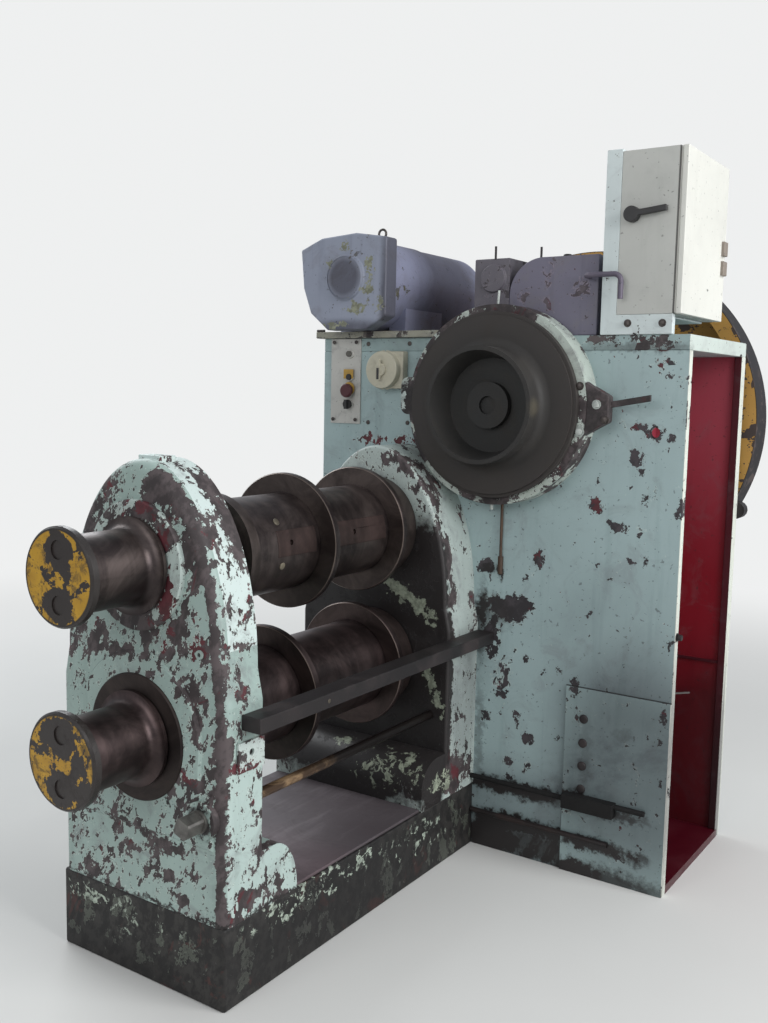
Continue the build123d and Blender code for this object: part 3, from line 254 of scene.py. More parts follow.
@shader_group("Round band", Centre=ORIGIN, Inner=.1, Outer=.2, Soft=.004)
def round_band(vector, centre, inner, outer, soft):
    """Round band about an axis along Y, between two radii."""
    flat = vector_calc("MULTIPLY", vector_calc("SUBTRACT", vector, centre), (1, 0, 1))
    radius = vector_calc("LENGTH", flat, output="Value")
    inside = ease(radius, inner, calc("ADD", inner, soft))
    outside = ease(radius, calc("SUBTRACT", outer, soft), outer)
    return {"Mask": calc("SUBTRACT", inside, outside, clamp=True), "Radius": radius}


@shader_group("Casting outline")
def casting_outline(vector):
    """Distance inwards from the outline of a bearing casting: upright sides, a knee and an elliptical crown."""
    x, y, z = parts(vector)
    sockets = {"Value": z, "From Min": .8, "From Max": SHOULDER_Z, "To Min": BED_HALF, "To Max": SHOULDER_HALF}
    half = put("MapRange", sockets).outputs[0]
    x = calc("ABSOLUTE", x)
    rise = calc("MAXIMUM", calc("SUBTRACT", z, SHOULDER_Z), 0)
    far = calc("SQRT", calc("ADD", calc("POWER", x, 2), calc("POWER", rise, 2)))
    across = calc("POWER", calc("DIVIDE", x, half), 2)
    upwards = calc("POWER", scaled(rise, 1 / CROWN_HEIGHT), 2)
    share = calc("SQRT", calc("ADD", across, upwards))
    return {"Inset": calc("MULTIPLY", far, calc("SUBTRACT", calc("DIVIDE", 1, share), 1))}


@shader_group("Workshop grime", Scale=3)
def workshop_grime(vector, scale):
    """Workshop dirt: broad film, runs down upright faces, and small specks."""
    film = ease(cloud(vector, scale, 7, .68, .6), .42, .7)
    runs = ease(cloud(stretched(vector, (9, 9, .7)), scale, 5, .6), .52, .74)
    specks = ease(cloud(vector, scaled(scale, 26), 2, .5), .68, .72)
    return {"Film": film, "Runs": runs, "Specks": specks}


@shader_group("Turned steel")
def turning(vector):
    """Marks of a lathe about an axis along Y: fine rings, broad bands and a patchy patina."""
    rings = cloud(stretched(vector, (2, 420, 2)), 1, 3, .6)
    bands = cloud(stretched(vector, (1.5, 26, 1.5)), 1, 3, .6)
    return {"Rings": rings, "Bands": bands, "Patina": cloud(vector, 7, 7, .68, .8)}


# Finishes

def new_finish(name):
    """Material with a bare shader, and the object coordinates it starts from."""
    material = bpy.data.materials.new(name)
    material.use_nodes = True
    return material, put("TexCoord", {}, material.node_tree).outputs["Object"]


def placed(group, vector, **sockets):
    """Outputs of one placed group."""
    return put("Group", {"Vector": vector, **sockets}, node_tree=group).outputs


def dirty_finish(name, scale):
    """New finish, and workshop dirt of one scale on it."""
    material, place = new_finish(name)
    return material, place, placed(workshop_grime, place, Scale=scale)


def finished(material, colour, rough, height=None, strength=0, distance=0, **constants):
    """Fill the shader of a material with its colour, roughness, constants and fine relief."""
    tree = material.node_tree
    shader = tree.nodes["Principled BSDF"]
    tree.links.new(colour, shader.inputs["Base Color"])
    if rough is not None:
        tree.links.new(rough, shader.inputs["Roughness"])
    if height is not None:
        bump = put("Bump", {"Height": height, "Strength": strength, "Distance": distance})
        tree.links.new(bump.outputs[0], shader.inputs["Normal"])
    for name, value in constants.items():
        shader.inputs[name].default_value = value
    return material


def patina(marks, low, high, dark, warm):
    """Patchy colour of old steel."""
    return blend(ease(marks["Patina"], low, high), dark, warm)


def spots_mask(place, spots):
    """Sum of worn spots, each given as a centre, its radii and a strength."""
    total = 0
    for centre, radii, strength in spots:
        mask = placed(worn_spot, place, Centre=centre, Radii=radii)["Mask"]
        total = scaled(mask, strength, total)
    return total


def unsettled(place):
    """Coordinates pushed about by a centimetre or two, so that outlines drawn from them turn ragged."""
    sockets = {"Vector": place, "Scale": 36, "Detail": 5, "Roughness": .68}
    push = vector_calc("SUBTRACT", put("TexNoise", sockets).outputs[1], (.5, .5, .5))
    return vector_calc("ADD", place, vector_calc("MULTIPLY", push, (.09, .09, .09)))


def brushed(place, lean, stretch):
    """Coordinates that draw marks out along one direction of an upright face."""
    sockets = {"Vector": place, "Rotation": (0, math.radians(lean), 0), "Scale": (1, 1, stretch)}
    return put("Mapping", sockets, vector_type="TEXTURE").outputs[0]


def near_edges(place, node, width):
    """Nearness to the edges of a node's box."""
    low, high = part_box(node)
    return placed(box_edges, place, Low=tuple(low), High=tuple(high), Width=width)["Mask"]


def lathe_axis(place, centre, inner, outer, soft=.004):
    """Round band about one of the machine's axes."""
    return placed(round_band, place, Centre=tuple(centre), Inner=inner, Outer=outer, Soft=soft)


def within(place, low, high):
    """1 inside a box and 0 outside."""
    middle = tuple((a + b) / 2 for a, b in zip(low, high))
    half = tuple((b - a) / 2 for a, b in zip(low, high))
    away = vector_calc("DIVIDE", vector_calc("SUBTRACT", place, middle), half)
    x, y, z = parts(vector_calc("ABSOLUTE", away))
    return calc("LESS_THAN", calc("MAXIMUM", calc("MAXIMUM", x, y), z), 1)


def worn_rim(place):
    """Rounded front edge of the outboard stand on its right, where the paint is rubbed away."""
    inset = placed(casting_outline, place)["Inset"]
    inset = calc("ADD", inset, scaled(cloud(place, 38, 6, .7), .036, -.018))
    band = calc("MULTIPLY", ease(inset, .033, .027), ease(inset, .004, .008))
    x = parts(place)[0]
    return calc("MULTIPLY", band, ease(x, .12, .18))


def paint_coat(place, paint, scale, dirt, film, runs, linings):
    """Faded coat of paint with stains and runs, in other colours where they line the part, some of these painted
    highlights or shade.
    """
    shade = dimmed(paint, .74)
    colour = blend(cloud(place, 2.4, 5, .6, .4), shade, dimmed(paint, 1.16))
    for lining_colour, low, high, *fade in linings:
        share = within(place, low, high)
        if fade:
            rise = parts(place)[2]
            share = calc("MULTIPLY", share, ease(rise, *fade))
        colour = blend(share, colour, lining_colour)
    stain = ease(cloud(place, scale * .9, 6, .7, .8), .5, .68)
    colour = blend(scaled(stain, film), colour, STAIN)
    return blend(scaled(dirt["Runs"], runs), colour, shade, "MULTIPLY")


def flaked_paint(name, paint, scale=9, amount=.25, spots=(), maroon=(), oil=(), dim=(), patches=(), seams=(),
                 linings=(), rim=0, edge=None, grain=None, shreds=0, film=.3, runs=.15, bump=.9,
                 primer_share=.7, lip_share=.7, bare=BARE_IRON, worn=WORN_IRON, primer=PRIMER, lip=CHIP_EDGE_HIGHLIGHT,
                 patch_colour=PALE_MINT):
    """Old brushed paint that has flaked down to primer and bare iron."""
    material, place = new_finish(name)
    near = unsettled(place)
    wear = spots_mask(near, spots)
    across = brushed(place, *grain) if grain else place
    if edge:
        node, strength, width = edge
        wear = scaled(near_edges(place, node, width), strength, wear)
    if rim:
        wear = scaled(worn_rim(place), rim, wear)
    if shreds:
        shred = cloud(jagged(across, 90, .35), 34, 5, .65, .4)
        wear = calc("ADD", scaled(shred, shreds, shreds * -.5), wear)
    flakes = placed(flaking, across, Scale=scale, Amount=amount, Wear=wear)
    dirt = placed(workshop_grime, place, Scale=3)
    colour = paint_coat(place, paint, scale, dirt, film, runs, linings)
    # Dark specks of dirt, then a painted highlight: the lip round each chip takes a pale colour, as if its broken
    # edge caught the light
    colour = layered(colour, (scaled(dirt["Specks"], .5), bare), (scaled(flakes["Lip"], lip_share), lip))
    held = calc("ADD", flakes["Primer"], primer_share * .1 - .05)
    held = ease(scaled(spots_mask(near, maroon), .25, held), .575, .59)
    iron = blend(flakes["Mottle"], bare, worn)
    under = blend(held, iron, blend(flakes["Mottle"], dimmed(primer, .75), dimmed(primer, 1.15)))
    colour = blend(flakes["Bare"], colour, under)
    # Painted shade, mottled by the grime film: these spots darken the paint where shade falls
    if dim:
        shadow = calc("MULTIPLY", spots_mask(place, dim), scaled(dirt["Film"], .35, .65), clamp=True)
        colour = blend(shadow, colour, (158, 154, 158), "MULTIPLY")
    if oil:
        soak = calc("MULTIPLY", spots_mask(near, oil), scaled(dirt["Film"], 1, .55), clamp=True)
        colour = blend(soak, colour, OIL)
    if patches:
        held = spots_mask(near, patches)
        ragged = scaled(cloud(jagged(place, 60, .4), scale * 1.8, 8, .7, .6), 4.5, -2.25)
        ragged = ease(calc("ADD", ragged, held), .55, .6)
        shade = blend(ease(cloud(place, 40, 5, .7), .4, .6), dimmed(patch_colour, .55), patch_colour)
        colour = blend(calc("MULTIPLY", ragged, ease(held, .02, .2)), colour, shade)
    for low, high in seams:
        colour = blend(scaled(within(place, low, high), .85), colour, OIL)
    rough = scaled(flakes["Bare"], .12, scaled(cloud(place, 14, 4, .6), .18, .42))
    height = calc("SUBTRACT", scaled(cloud(place, 60, 4, .6), .35), flakes["Bare"])
    return finished(material, colour, rough, height, bump, .0009)


def turned_steel(name, dark, warm, rough=.3, metallic=.85, highlight_rims=()):
    """Lathe-turned steel gone brown, still polished where hands and stock rub it."""
    material, place = new_finish(name)
    marks = placed(turning, place)
    colour = patina(marks, .35, .68, dark, warm)
    colour = blend(scaled(ease(marks["Bands"], .4, .7), .45), colour, dimmed(dark, .5))
    # Painted highlight: pale rings laid on the flanges' faces and rims
    for centre, inner, outer, share in highlight_rims:
        line = lathe_axis(place, centre, inner, outer, .001)["Mask"]
        colour = blend(scaled(line, share), colour, (150, 136, 124))
    rough = scaled(marks["Rings"], .06, scaled(marks["Patina"], .34, rough - .1))
    return finished(material, colour, rough, marks["Rings"], .35, .0004, Metallic=metallic)


def adjuster_finish():
    """Adjusting shaft: bright square end, golden where it leaves the stand, black with oil beyond."""
    material, place = new_finish("adjuster_steel")
    marks = placed(turning, place)
    along = calc("ADD", parts(place)[1], scaled(cloud(place, 18, 5, .7), .2, -.1))
    square = patina(marks, .35, .68, (66, 64, 63), (120, 118, 114))
    gold = patina(marks, .42, .6, (84, 66, 52), (176, 146, 112))
    colour = layered(square, (ease(along, -.6, -.5), gold), (ease(along, -.22, -.08), (40, 34, 33)))
    return finished(material, colour, scaled(marks["Patina"], .3, .2), marks["Rings"], .35, .0004, Metallic=.7)


def grimy_iron(name, dark, light, rough=.62, metallic=.2):
    """Dull iron under old oil and dust."""
    material, place, dirt = dirty_finish(name, 5)
    colour = layered(dark, (dirt["Film"], light), (scaled(dirt["Specks"], .6), dimmed(dark, .5)))
    return finished(material, colour, scaled(dirt["Film"], .24, rough - .12), cloud(place, 90, 5, .65), .4, .001,
                    Metallic=metallic)


def moulded(name, colour):
    """Moulded plastic with a fine grain and a film of dust."""
    material, place, dirt = dirty_finish(name, 22)
    dusty = (*(min(1, value * .7 + .02) for value in linear(colour)[:3]), 1)
    colour = blend(scaled(dirt["Film"], .6), colour, dusty)
    return finished(material, colour, scaled(dirt["Film"], .2, .45), cloud(place, 420, 3), .25, .0004)


def on_face(y, rows, depth=.05):
    """Spots on a face across Y, from rows of x, z, their half sizes and a strength."""
    return [((x, y, z), (half_x, depth, half_z), strength) for x, z, half_x, half_z, strength in rows]


def on_side(rows):
    """Spots on the right side of a casting, from rows of y, z, their half sizes, a strength and a depth."""
    return [((BED_HALF, y, z), (depth, half_y, half_z), strength) for y, z, half_y, half_z, strength, depth in rows]


def stand_finish():
    """Paint of the outboard stand, worn through on its crown and along the rounded edge."""
    face = STAND_FACE
    spots = on_face(face, [
        (.06, 1.24, .38, .26, .2), (.19, .72, .06, .15, .3), (.075, 1.345, .06, .055, .9), (.12, 1.335, .07, .05, .8),
        (.165, 1.295, .055, .055, .9), (.198, 1.235, .04, .07, .9), (.215, 1.15, .03, .08, .7),
        (-.105, 1.335, .06, .05, .3), (-.15, 1.25, .08, .1, .3), (.15, .99, .05, .07, .28),
        (.045, .958, .085, .04, .5), (-.069, .898, .07, .04, .3), (-.165, 1.02, .05, .06, .3),
        (-.147, .913, .05, .05, .3), (.215, .935, .07, .034, .6), (.175, .835, .05, .04, .5),
        (.11, .396, .095, .024, 1), (.03, .415, .07, .012, .9), (-.06, .428, .1, .009, .8), (-.17, .428, .1, .01, .6),
        (-.1, .455, .12, .006, .6), (.077, .315, .09, .03, .4), (-.13, .33, .14, .05, .16), (.24, .8, .05, .16, .25),
        (-.25, .88, .06, .2, .3), (-.21, 1.16, .07, .12, .3), (0, .875, .1, .03, -.4),
    ])
    spots += [
        ((.134, -.527, 1.351), (.06, .05, .05), .9), ((.165, -.525, 1.318), (.06, .05, .05), .9),
        ((.206, -.522, 1.254), (.05, .045, .06), .9), ((.228, -.518, 1.205), (.05, .035, .05), .8),
        ((.247, -.518, 1.16), (.05, .03, .05), .8), ((.278, -.515, 1.035), (.04, .028, .05), .45),
        ((.23, -.6, 1.23), (.05, .02, .05), .25), ((.24, -.59, 1.16), (.06, .03, .12), -.12),
    ]
    spots += on_side([
        (-.57, .947, .16, .022, .9, .05), (-.61, .89, .06, .05, .45, .05), (-.575, .83, .03, .06, .45, .04),
        (-.49, .395, .05, .04, .4, .04), (-.41, .3, .07, .05, .15, .04), (-.52, .3, .12, .06, .08, .04),
        (-.57, .5, .09, .12, -.14, .03), (-.56, .64, .12, .02, .7, .02),
    ])
    maroon = on_face(face, [(.215, .935, .05, .035, .7), (.105, .93, .03, .03, .6)], .12)
    maroon += on_side([(-.6, .93, .07, .035, .5, .03), (-.575, .84, .04, .04, .35, .02),
                       (-.56, .64, .12, .03, .4, .02)])
    # The first row is painted shade in the socket round the adjusting shaft
    oil = on_face(face, [(.243, .502, .058, .058, 1.8), (0, .228, .6, .01, 1.2)])
    oil += on_face(face, [(.098 + .011 * step, .538 - .0054 * step, .011, .009, 1.6) for step in range(6)], .02)
    # The last row is painted shade: the stand's side is blackened behind the tab's hole
    oil += on_side([(-.4, .226, .3, .01, 1.6, .05), (-.552, .673, .016, .016, 4, .02)])
    # Painted light: paler mint on the crown and the right side, where the light from the right falls on them
    lit = [(SUNLIT_MINT, (-.32, face + .033, .94), (.32, -.3, 1.45)),
           ((172, 190, 185), (BED_HALF - .004, -.63, .22), (BED_HALF + .01, -.3, .64))]
    return flaked_paint("stand_paint", MINT, scale=9.5, amount=.27, spots=spots, maroon=maroon, oil=oil, rim=1,
                        primer_share=.4, film=.45, linings=lit, grain=(28, 1.6), shreds=2.8)


def bed_finish():
    """Paint of the bed, mostly lost, with a few dull patches and small bright flakes left."""
    spots = on_face(STAND_FACE, [(.02, .12, .2, .1, -.14), (-.2, .17, .1, .05, -.06)], .08)
    spots += on_side([(-.3, .13, .18, .06, -.1, .05), (.1, .19, .5, .04, -.12, .05)])
    # Painted shade, with grime, along the bed's right side and low on its front
    dim = on_side([(-.1, .1, .9, .19, 1.3, .05)]) + on_face(STAND_FACE, [(-.2, .02, .5, .1, .8)])
    flecks = on_side([(-.25, .19, .45, .06, .34, .05), (.3, .14, .3, .09, .24, .05)])
    flecks += on_face(STAND_FACE, [(.02, .15, .3, .1, .16), (-.2, .18, .14, .04, .28)])
    return flaked_paint("bed_paint", (74, 78, 70), scale=15, amount=.76, spots=spots, film=.12, dim=dim,
                        primer_share=.3, primer=(62, 38, 35), bare=(23, 21, 21), worn=(48, 46, 44),
                        lip=(120, 128, 116), lip_share=.4, edge=("bed_casting", .2, .03), grain=(20, 1.4),
                        patches=flecks, patch_colour=(172, 184, 170))


def housing_finish():
    """Paint of the inboard housing, soaked with oil behind the roll shafts."""
    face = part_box("inboard_housing")[0].y + .15
    spots = on_face(face, [(.1, 1.32, .24, .12, .3), (.22, 1.24, .08, .12, .4),
                           (.265, 1.08, .05, .14, .4)], .1)
    spots += [((.2, .37, .35), (.2, .14, .16), .4)]
    spots += on_side([(.5, .3, .24, .1, .5, .05), (.458, .7, .035, .55, .8, .03),
                      (.63, .88, .05, .1, .6, .06), (.58, .62, .05, .07, .3, .04),
                      (.57, 1.02, .09, .24, -.22, .06)])
    oil = on_face(face, [(0, .66, .62, .5, 3), (.12, 1.02, .32, .2, 2.4), (-.1, 1.15, .25, .2, 2)])
    # This row darkens the front of the housing's foot, below the lower roll
    oil += [((0, .36, .34), (.5, .13, .22), 3)]
    oil += on_side([(.36, .3, .12, .16, 1.4, .05), (.45, .72, .04, .48, 1.4, .02)])
    patches = on_face(face, [
        (.075, .936, .05, .03, 1), (.125, .905, .055, .04, 1.1), (.18, .872, .05, .045, 1.1),
        (.238, .838, .045, .035, .9), (.228, .66, .02, .04, 1), (.245, .61, .018, .045, 1),
        (.268, .565, .022, .04, 1), (.288, .525, .016, .04, .8),
    ])
    patches += [((.05, .36, .33), (.14, .12, .06), .5), ((.2, .36, .32), (.16, .16, .1), .5),
                ((-.05, .36, .39), (.07, .06, .03), .9)]
    patches += on_side([(.42, .29, .12, .05, .6, .02)])
    return flaked_paint("housing_paint", (170, 182, 178), scale=9.5, amount=.28, spots=spots, oil=oil,
                        # Painted shade on the housing's right side, next to the frame
                        dim=on_side([(.56, .55, .14, .35, .9, .05)]), patches=patches,
                        patch_colour=(150, 158, 140), film=.45, primer_share=.15, grain=(-20, 1.5), shreds=1.2)


def frame_finish(name, edge=None, amount=0, paint=FRAME_MINT, **more):
    """Paint of the box frame's plates, sound apart from scattered chips."""
    return flaked_paint(name, paint, scale=7, amount=amount, edge=edge, film=.22, primer_share=.6,
                        lip_share=.35, **more)


# A spot fades towards its edge, so a chip is drawn larger than its size in the photo
CHIP_SPREAD = 1.65


def chips(y, rows):
    """Single chips, each given by its place and half sizes in millimetres."""
    return [((x / 1000, y, z / 1000), (half_x * CHIP_SPREAD / 1000, .05, half_z * CHIP_SPREAD / 1000), .9)
            for x, z, half_x, half_z in rows]


def front_plate_finish():
    """Front plate, chipped where oil and tools reach it."""
    y = FRAME_FACE
    spots = chips(y, [
        (851, 1404, 24, 34), (877, 1365, 15, 8), (726, 1320, 10, 12), (726, 1249, 24, 24), (797, 1181, 22, 19),
        (601, 1306, 8, 8), (744, 1386, 6, 11), (887, 1274, 8, 12), (529, 1052, 17, 27), (851, 1074, 10, 9),
        (896, 1082, 7, 16), (738, 1052, 9, 8), (484, 972, 6, 11), (718, 887, 6, 14), (813, 849, 8, 7),
        (863, 858, 8, 8), (498, 705, 14, 16), (566, 671, 8, 8), (612, 679, 8, 12), (680, 646, 17, 13),
        (408, 559, 18, 12), (348, 478, 17, 14), (406, 495, 13, 9), (467, 478, 10, 42), (518, 426, 27, 14),
        (441, 333, 16, 14), (453, 271, 15, 11), (515, 260, 18, 7), (630, 448, 14, 6), (1001, 1253, 8, 24),
        (907, 1475, 27, 22), (861, 1499, 20, 13), (964, 1466, 11, 12), (990, 830, 9, 30), (985, 590, 9, 20),
        (975, 505, 9, 14), (985, 380, 9, 16),
    ])
    spots += on_face(y, [
        (.4, .865, .14, .085, .75), (.355, .76, .07, .09, .55), (.47, .9, .09, .04, .4), (.335, 1.005, .05, .035, 1),
        (.43, .87, .08, .05, .9), (-.1, 1.425, .2, .03, .5), (.03, 1.45, .07, .06, .5), (.84, 1.765, .22, .035, .55),
        (.72, 1.775, .1, .025, .5), (.9, 1.7, .12, .03, .35), (.75, 1.715, .05, .02, .5), (.93, 1.66, .035, .03, .5),
        (.36, .21, .12, .12, .25), (.35, .62, .06, .3, .16), (.388, 1.558, .36, .36, .1),
    ])
    maroon = on_face(y, [(-.1, 1.425, .25, .05, 1), (.03, 1.45, .1, .07, .8), (.9, 1.745, .06, .05, 1),
                         (.75, 1.715, .05, .03, .8), (.726, 1.249, .03, .03, .6), (.529, 1.052, .03, .04, .6)])
    oil = on_face(y, [
        (.37, .85, .1, .08, 1), (.32, .8, .03, .2, .9), (.62, .05, .5, .08, 1.6), (.85, 1.75, .28, .022, .7),
        (.06, 1.46, .05, .1, .8), (.393, .985, .016, .03, 1.6), (.345, .995, .04, .025, 1.3),
        (.48, .235, .26, .04, 2), (.325, .4, .03, .25, .7), (.52, .118, .34, .034, 2), (.37, .04, .14, .08, 2),
        (.88, .36, .4, .42, .2),
    ])
    # Painted shade, with grime, over the lower part of the front plate, most of all on its right
    dim = on_face(y, [(.9, .42, .42, .5, 1.2), (.55, .15, .6, .25, .7), (.8, .75, .4, .4, .3)], .1)
    linings = [
        (RED, (.7, y + PLATE_IN - .001, 0), (FRAME_RIGHT - .0015, y + PLATE_IN + .01, FRAME_TOP)),
        # Painted highlight on the plate's right edge
        (EDGE_HIGHLIGHT, (FRAME_RIGHT - .0018, y - .01, 0), (FRAME_RIGHT + .01, y + .04, FRAME_TOP)),
    ]
    seams = [((.649, y - .01, .636), (1.1, y + .0003, .641)), ((.648, y - .01, 0), (.6525, y + .0003, .3))]
    return flaked_paint("front_plate_paint", (157, 177, 178), scale=8.5, amount=-.04, spots=spots, maroon=maroon,
                        oil=oil, dim=dim, linings=linings, seams=seams, edge=("frame_front_plate", .2, .006),
                        film=.25, primer_share=.3, lip_share=.35, grain=(15, 1.3), **PLATE_IRON)


def recess_finish():
    """Deep red paint inside the open side of the frame, with painted shade that darkens it towards the floor and
    painted light that makes it paler high up.
    """
    material, place, dirt = dirty_finish("recess_red", 2.6)
    height = parts(place)[2]
    # Painted shade low down and painted light high up, under dirt and runs
    colour = layered((64, 5, 18), (ease(height, .2, 1), (116, 12, 30)), (ease(height, .9, 1.7), (150, 58, 72)),
                     (scaled(dirt["Film"], .4), (76, 14, 26)), (scaled(dirt["Runs"], .2), (44, 8, 16)))
    return finished(material, colour, scaled(dirt["Film"], .2, .34), cloud(place, 45, 4), .3, .0008)


def disc_wear(place, lower):
    """Rubbed places of the end discs: round both sinkings, and most of the lower disc's top."""
    marks = []
    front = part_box("upper_end_disc")[0].y
    for z in (LOWER_Z, UPPER_Z):
        marks += [((0, front, z + side * .07), (.062, .05, .056), 1.1) for side in (-1, 1)]
    marks += [((-.03, front, LOWER_Z + .05), (.1, .05, .07), .5), ((.07, front, LOWER_Z - .04), (.05, .05, .08), .5)]
    return scaled(lower, .1, spots_mask(place, marks))


def disc_finish():
    """Mustard paint on the end discs, rubbed and smeared with grease, most of all on the lower one."""
    material, place = new_finish("disc_yellow")
    height = parts(place)[2]
    lower = ease(height, UPPER_Z - .16, LOWER_Z + .16)
    flakes = placed(flaking, place, Scale=15, Amount=.28, Wear=disc_wear(place, lower))
    grease = ease(cloud(place, 16, 7, .7, 1.4), .5, .62)
    mask = 1
    for axis in AXES:
        mask = calc("MINIMUM", mask, lathe_axis(place, axis, .1135, 3)["Mask"])
    colour = layered((142, 102, 26), (cloud(place, 20, 5), (204, 160, 44)), (scaled(grease, .7), (62, 52, 38)),
                     (flakes["Bare"], (46, 40, 38)), (mask, (40, 35, 33)))
    height = calc("SUBTRACT", cloud(place, 70, 5, .65), flakes["Bare"])
    return finished(material, colour, scaled(grease, .2, .36), height, .6, .0009, Metallic=.1)


def flywheel_finish():
    """Flywheel: slate rim, a yellow front face smeared dark, and dark grease towards the hub."""
    material, place, dirt = dirty_finish("flywheel_paint", 4)
    band = lathe_axis(place, FLYWHEEL, .4, .6385, .002)
    flakes = placed(flaking, place, Scale=7, Amount=.34)
    yellow = blend(cloud(place, 6, 5), (160, 118, 48), (200, 156, 84))
    colour = layered((20, 17, 20), (dirt["Film"], (32, 28, 32)), (band["Mask"], yellow),
                     (ease(band["Radius"], .42, .4), (46, 42, 42)), (flakes["Bare"], (66, 56, 54)))
    return finished(material, colour, scaled(dirt["Film"], .15, .66), cloud(place, 50, 4), .4, .001)


def sheet_finish():
    """Mauve-grey sheet on the bed, scuffed and stained, with a painted sheen making it paler towards the stand."""
    material, place, dirt = dirty_finish("bed_sheet", 4.5)
    scuff = ease(cloud(stretched(place, (26, 3, 1)), 1, 6, .7, .6), .5, .7)
    # Mauve tone with a painted sheen that grows towards the stand
    mauve_and_sheen = blend(ease(parts(place)[1], 0, -.3), (96, 90, 94), (124, 106, 112))
    colour = layered(dimmed((96, 86, 90), .62), (cloud(place, 3.2, 5, .6, .8), mauve_and_sheen),
                     (scaled(dirt["Film"], .5), (58, 50, 52)), (scaled(scuff, .25), (140, 132, 136)))
    return finished(material, colour, scaled(dirt["Film"], .25, .42), cloud(place, 30, 5), .3, .001, Metallic=.25)


def clutch_finish():
    """Cast cover of the clutch, matt with oil and brake dust, a little browner towards its rim, with a painted glint
    on its right.
    """
    material, place, dirt = dirty_finish("cover_iron", 5)
    radius = lathe_axis(place, CLUTCH, 0, 1)["Radius"]
    # Painted highlight: a pale glint on the cover's right
    painted_glint = spots_mask(place, [((.6, .47, 1.555), (.05, .05, .05), 1)])
    colour = layered((38, 38, 37), (ease(radius, .12, .3), (52, 48, 46)), (scaled(dirt["Film"], .5), (62, 58, 54)),
                     (scaled(painted_glint, .5), (96, 90, 74)))
    rough = scaled(dirt["Film"], .16, .62)
    return finished(material, colour, rough, cloud(place, 90, 5, .65), .35, .001, Metallic=.15)


def ring_finish():
    """Paint of the clutch's ring: dirty and chipped, sound and bright only on its upper right."""
    spots, oil = [], []
    for degrees, wear in ((180, .5), (150, .3), (120, .3), (95, .5), (75, .4), (-90, .45), (-60, .2), (-30, .3),
                          (-5, .35), (210, .4), (35, -.3), (22, -.3), (50, -.1)):
        turn = math.radians(degrees)
        centre = (CLUTCH.x + CLUTCH_RING_RADIUS * math.cos(turn), FRAME_FACE - .06,
                  CLUTCH.z + CLUTCH_RING_RADIUS * math.sin(turn))
        spots.append((centre, (.1, .12, .1), wear))
        if wear >= .4:
            oil.append((centre, (.08, .12, .08), .7))
    for marks, strength in ((spots, .5), (oil, .9)):
        marks.append(((.045, FRAME_FACE - .06, CLUTCH.z), (.06, .12, .1), strength))
    # Painted highlight: a pale curve on the dark lug at the ring's left
    patches = [((.034, FRAME_FACE - .07, CLUTCH.z + .01), (.016, .06, .05), 1.4)]
    return flaked_paint("clutch_ring_paint", (178, 188, 180), scale=13, amount=.36, spots=spots, oil=oil,
                        patches=patches, film=.6, primer_share=.1, lip_share=.5)


def glass_finish():
    """Lens of the indicator lamp."""
    material, place = new_finish("lens_glass")
    colour = blend(cloud(place, 40, 3), (84, 82, 78), (120, 116, 108))
    return finished(material, colour, None, **{"Transmission Weight": .35, "Roughness": .12})


def motor_finish(name, paint, rear):
    """Blue-grey motor paint with olive patches, and painted shade that darkens it towards its rear end."""
    cap = (MOTOR_X + .017, .5, 1.993)
    patches = on_face(.515, [
        (-.1, 2.02, .026, .07, 1.1), (-.105, 1.95, .035, .05, 1.1), (-.17, 1.885, .1, .034, 1.2),
        (-.275, 2.05, .035, .03, 1), (-.2, 2.1, .035, .03, 1.1), (-.25, 1.83, .12, .024, 1),
        (-.05, 1.9, .02, .04, .6)], .03)
    # Painted shade round the end cap, at the joint behind the shield, down the shield's right side and along its
    # foot; the rear rows darken the body towards its back
    dim = [((MOTOR_X, .585, 1.97), (.3, .035, .3), .9), ((MOTOR_X, .54, 1.81), (.3, .1, .05), 1.2),
           ((-.03, .565, 1.97), (.045, .06, .45), 2.2), (cap, (.1, .06, .1), 2.2)]
    if rear:
        dim += [((MOTOR_X, 1.02, 1.97), (.5, .33, .5), 1.4), ((MOTOR_X, .6, 1.97), (.3, .03, .3), .8)]
    return flaked_paint(name, paint, scale=10, amount=0, bare=(84, 84, 90), worn=(108, 106, 104),
                        primer=(92, 90, 72), lip=(134, 138, 150), lip_share=.3, film=.35, patches=patches,
                        patch_colour=(140, 142, 122), dim=dim)


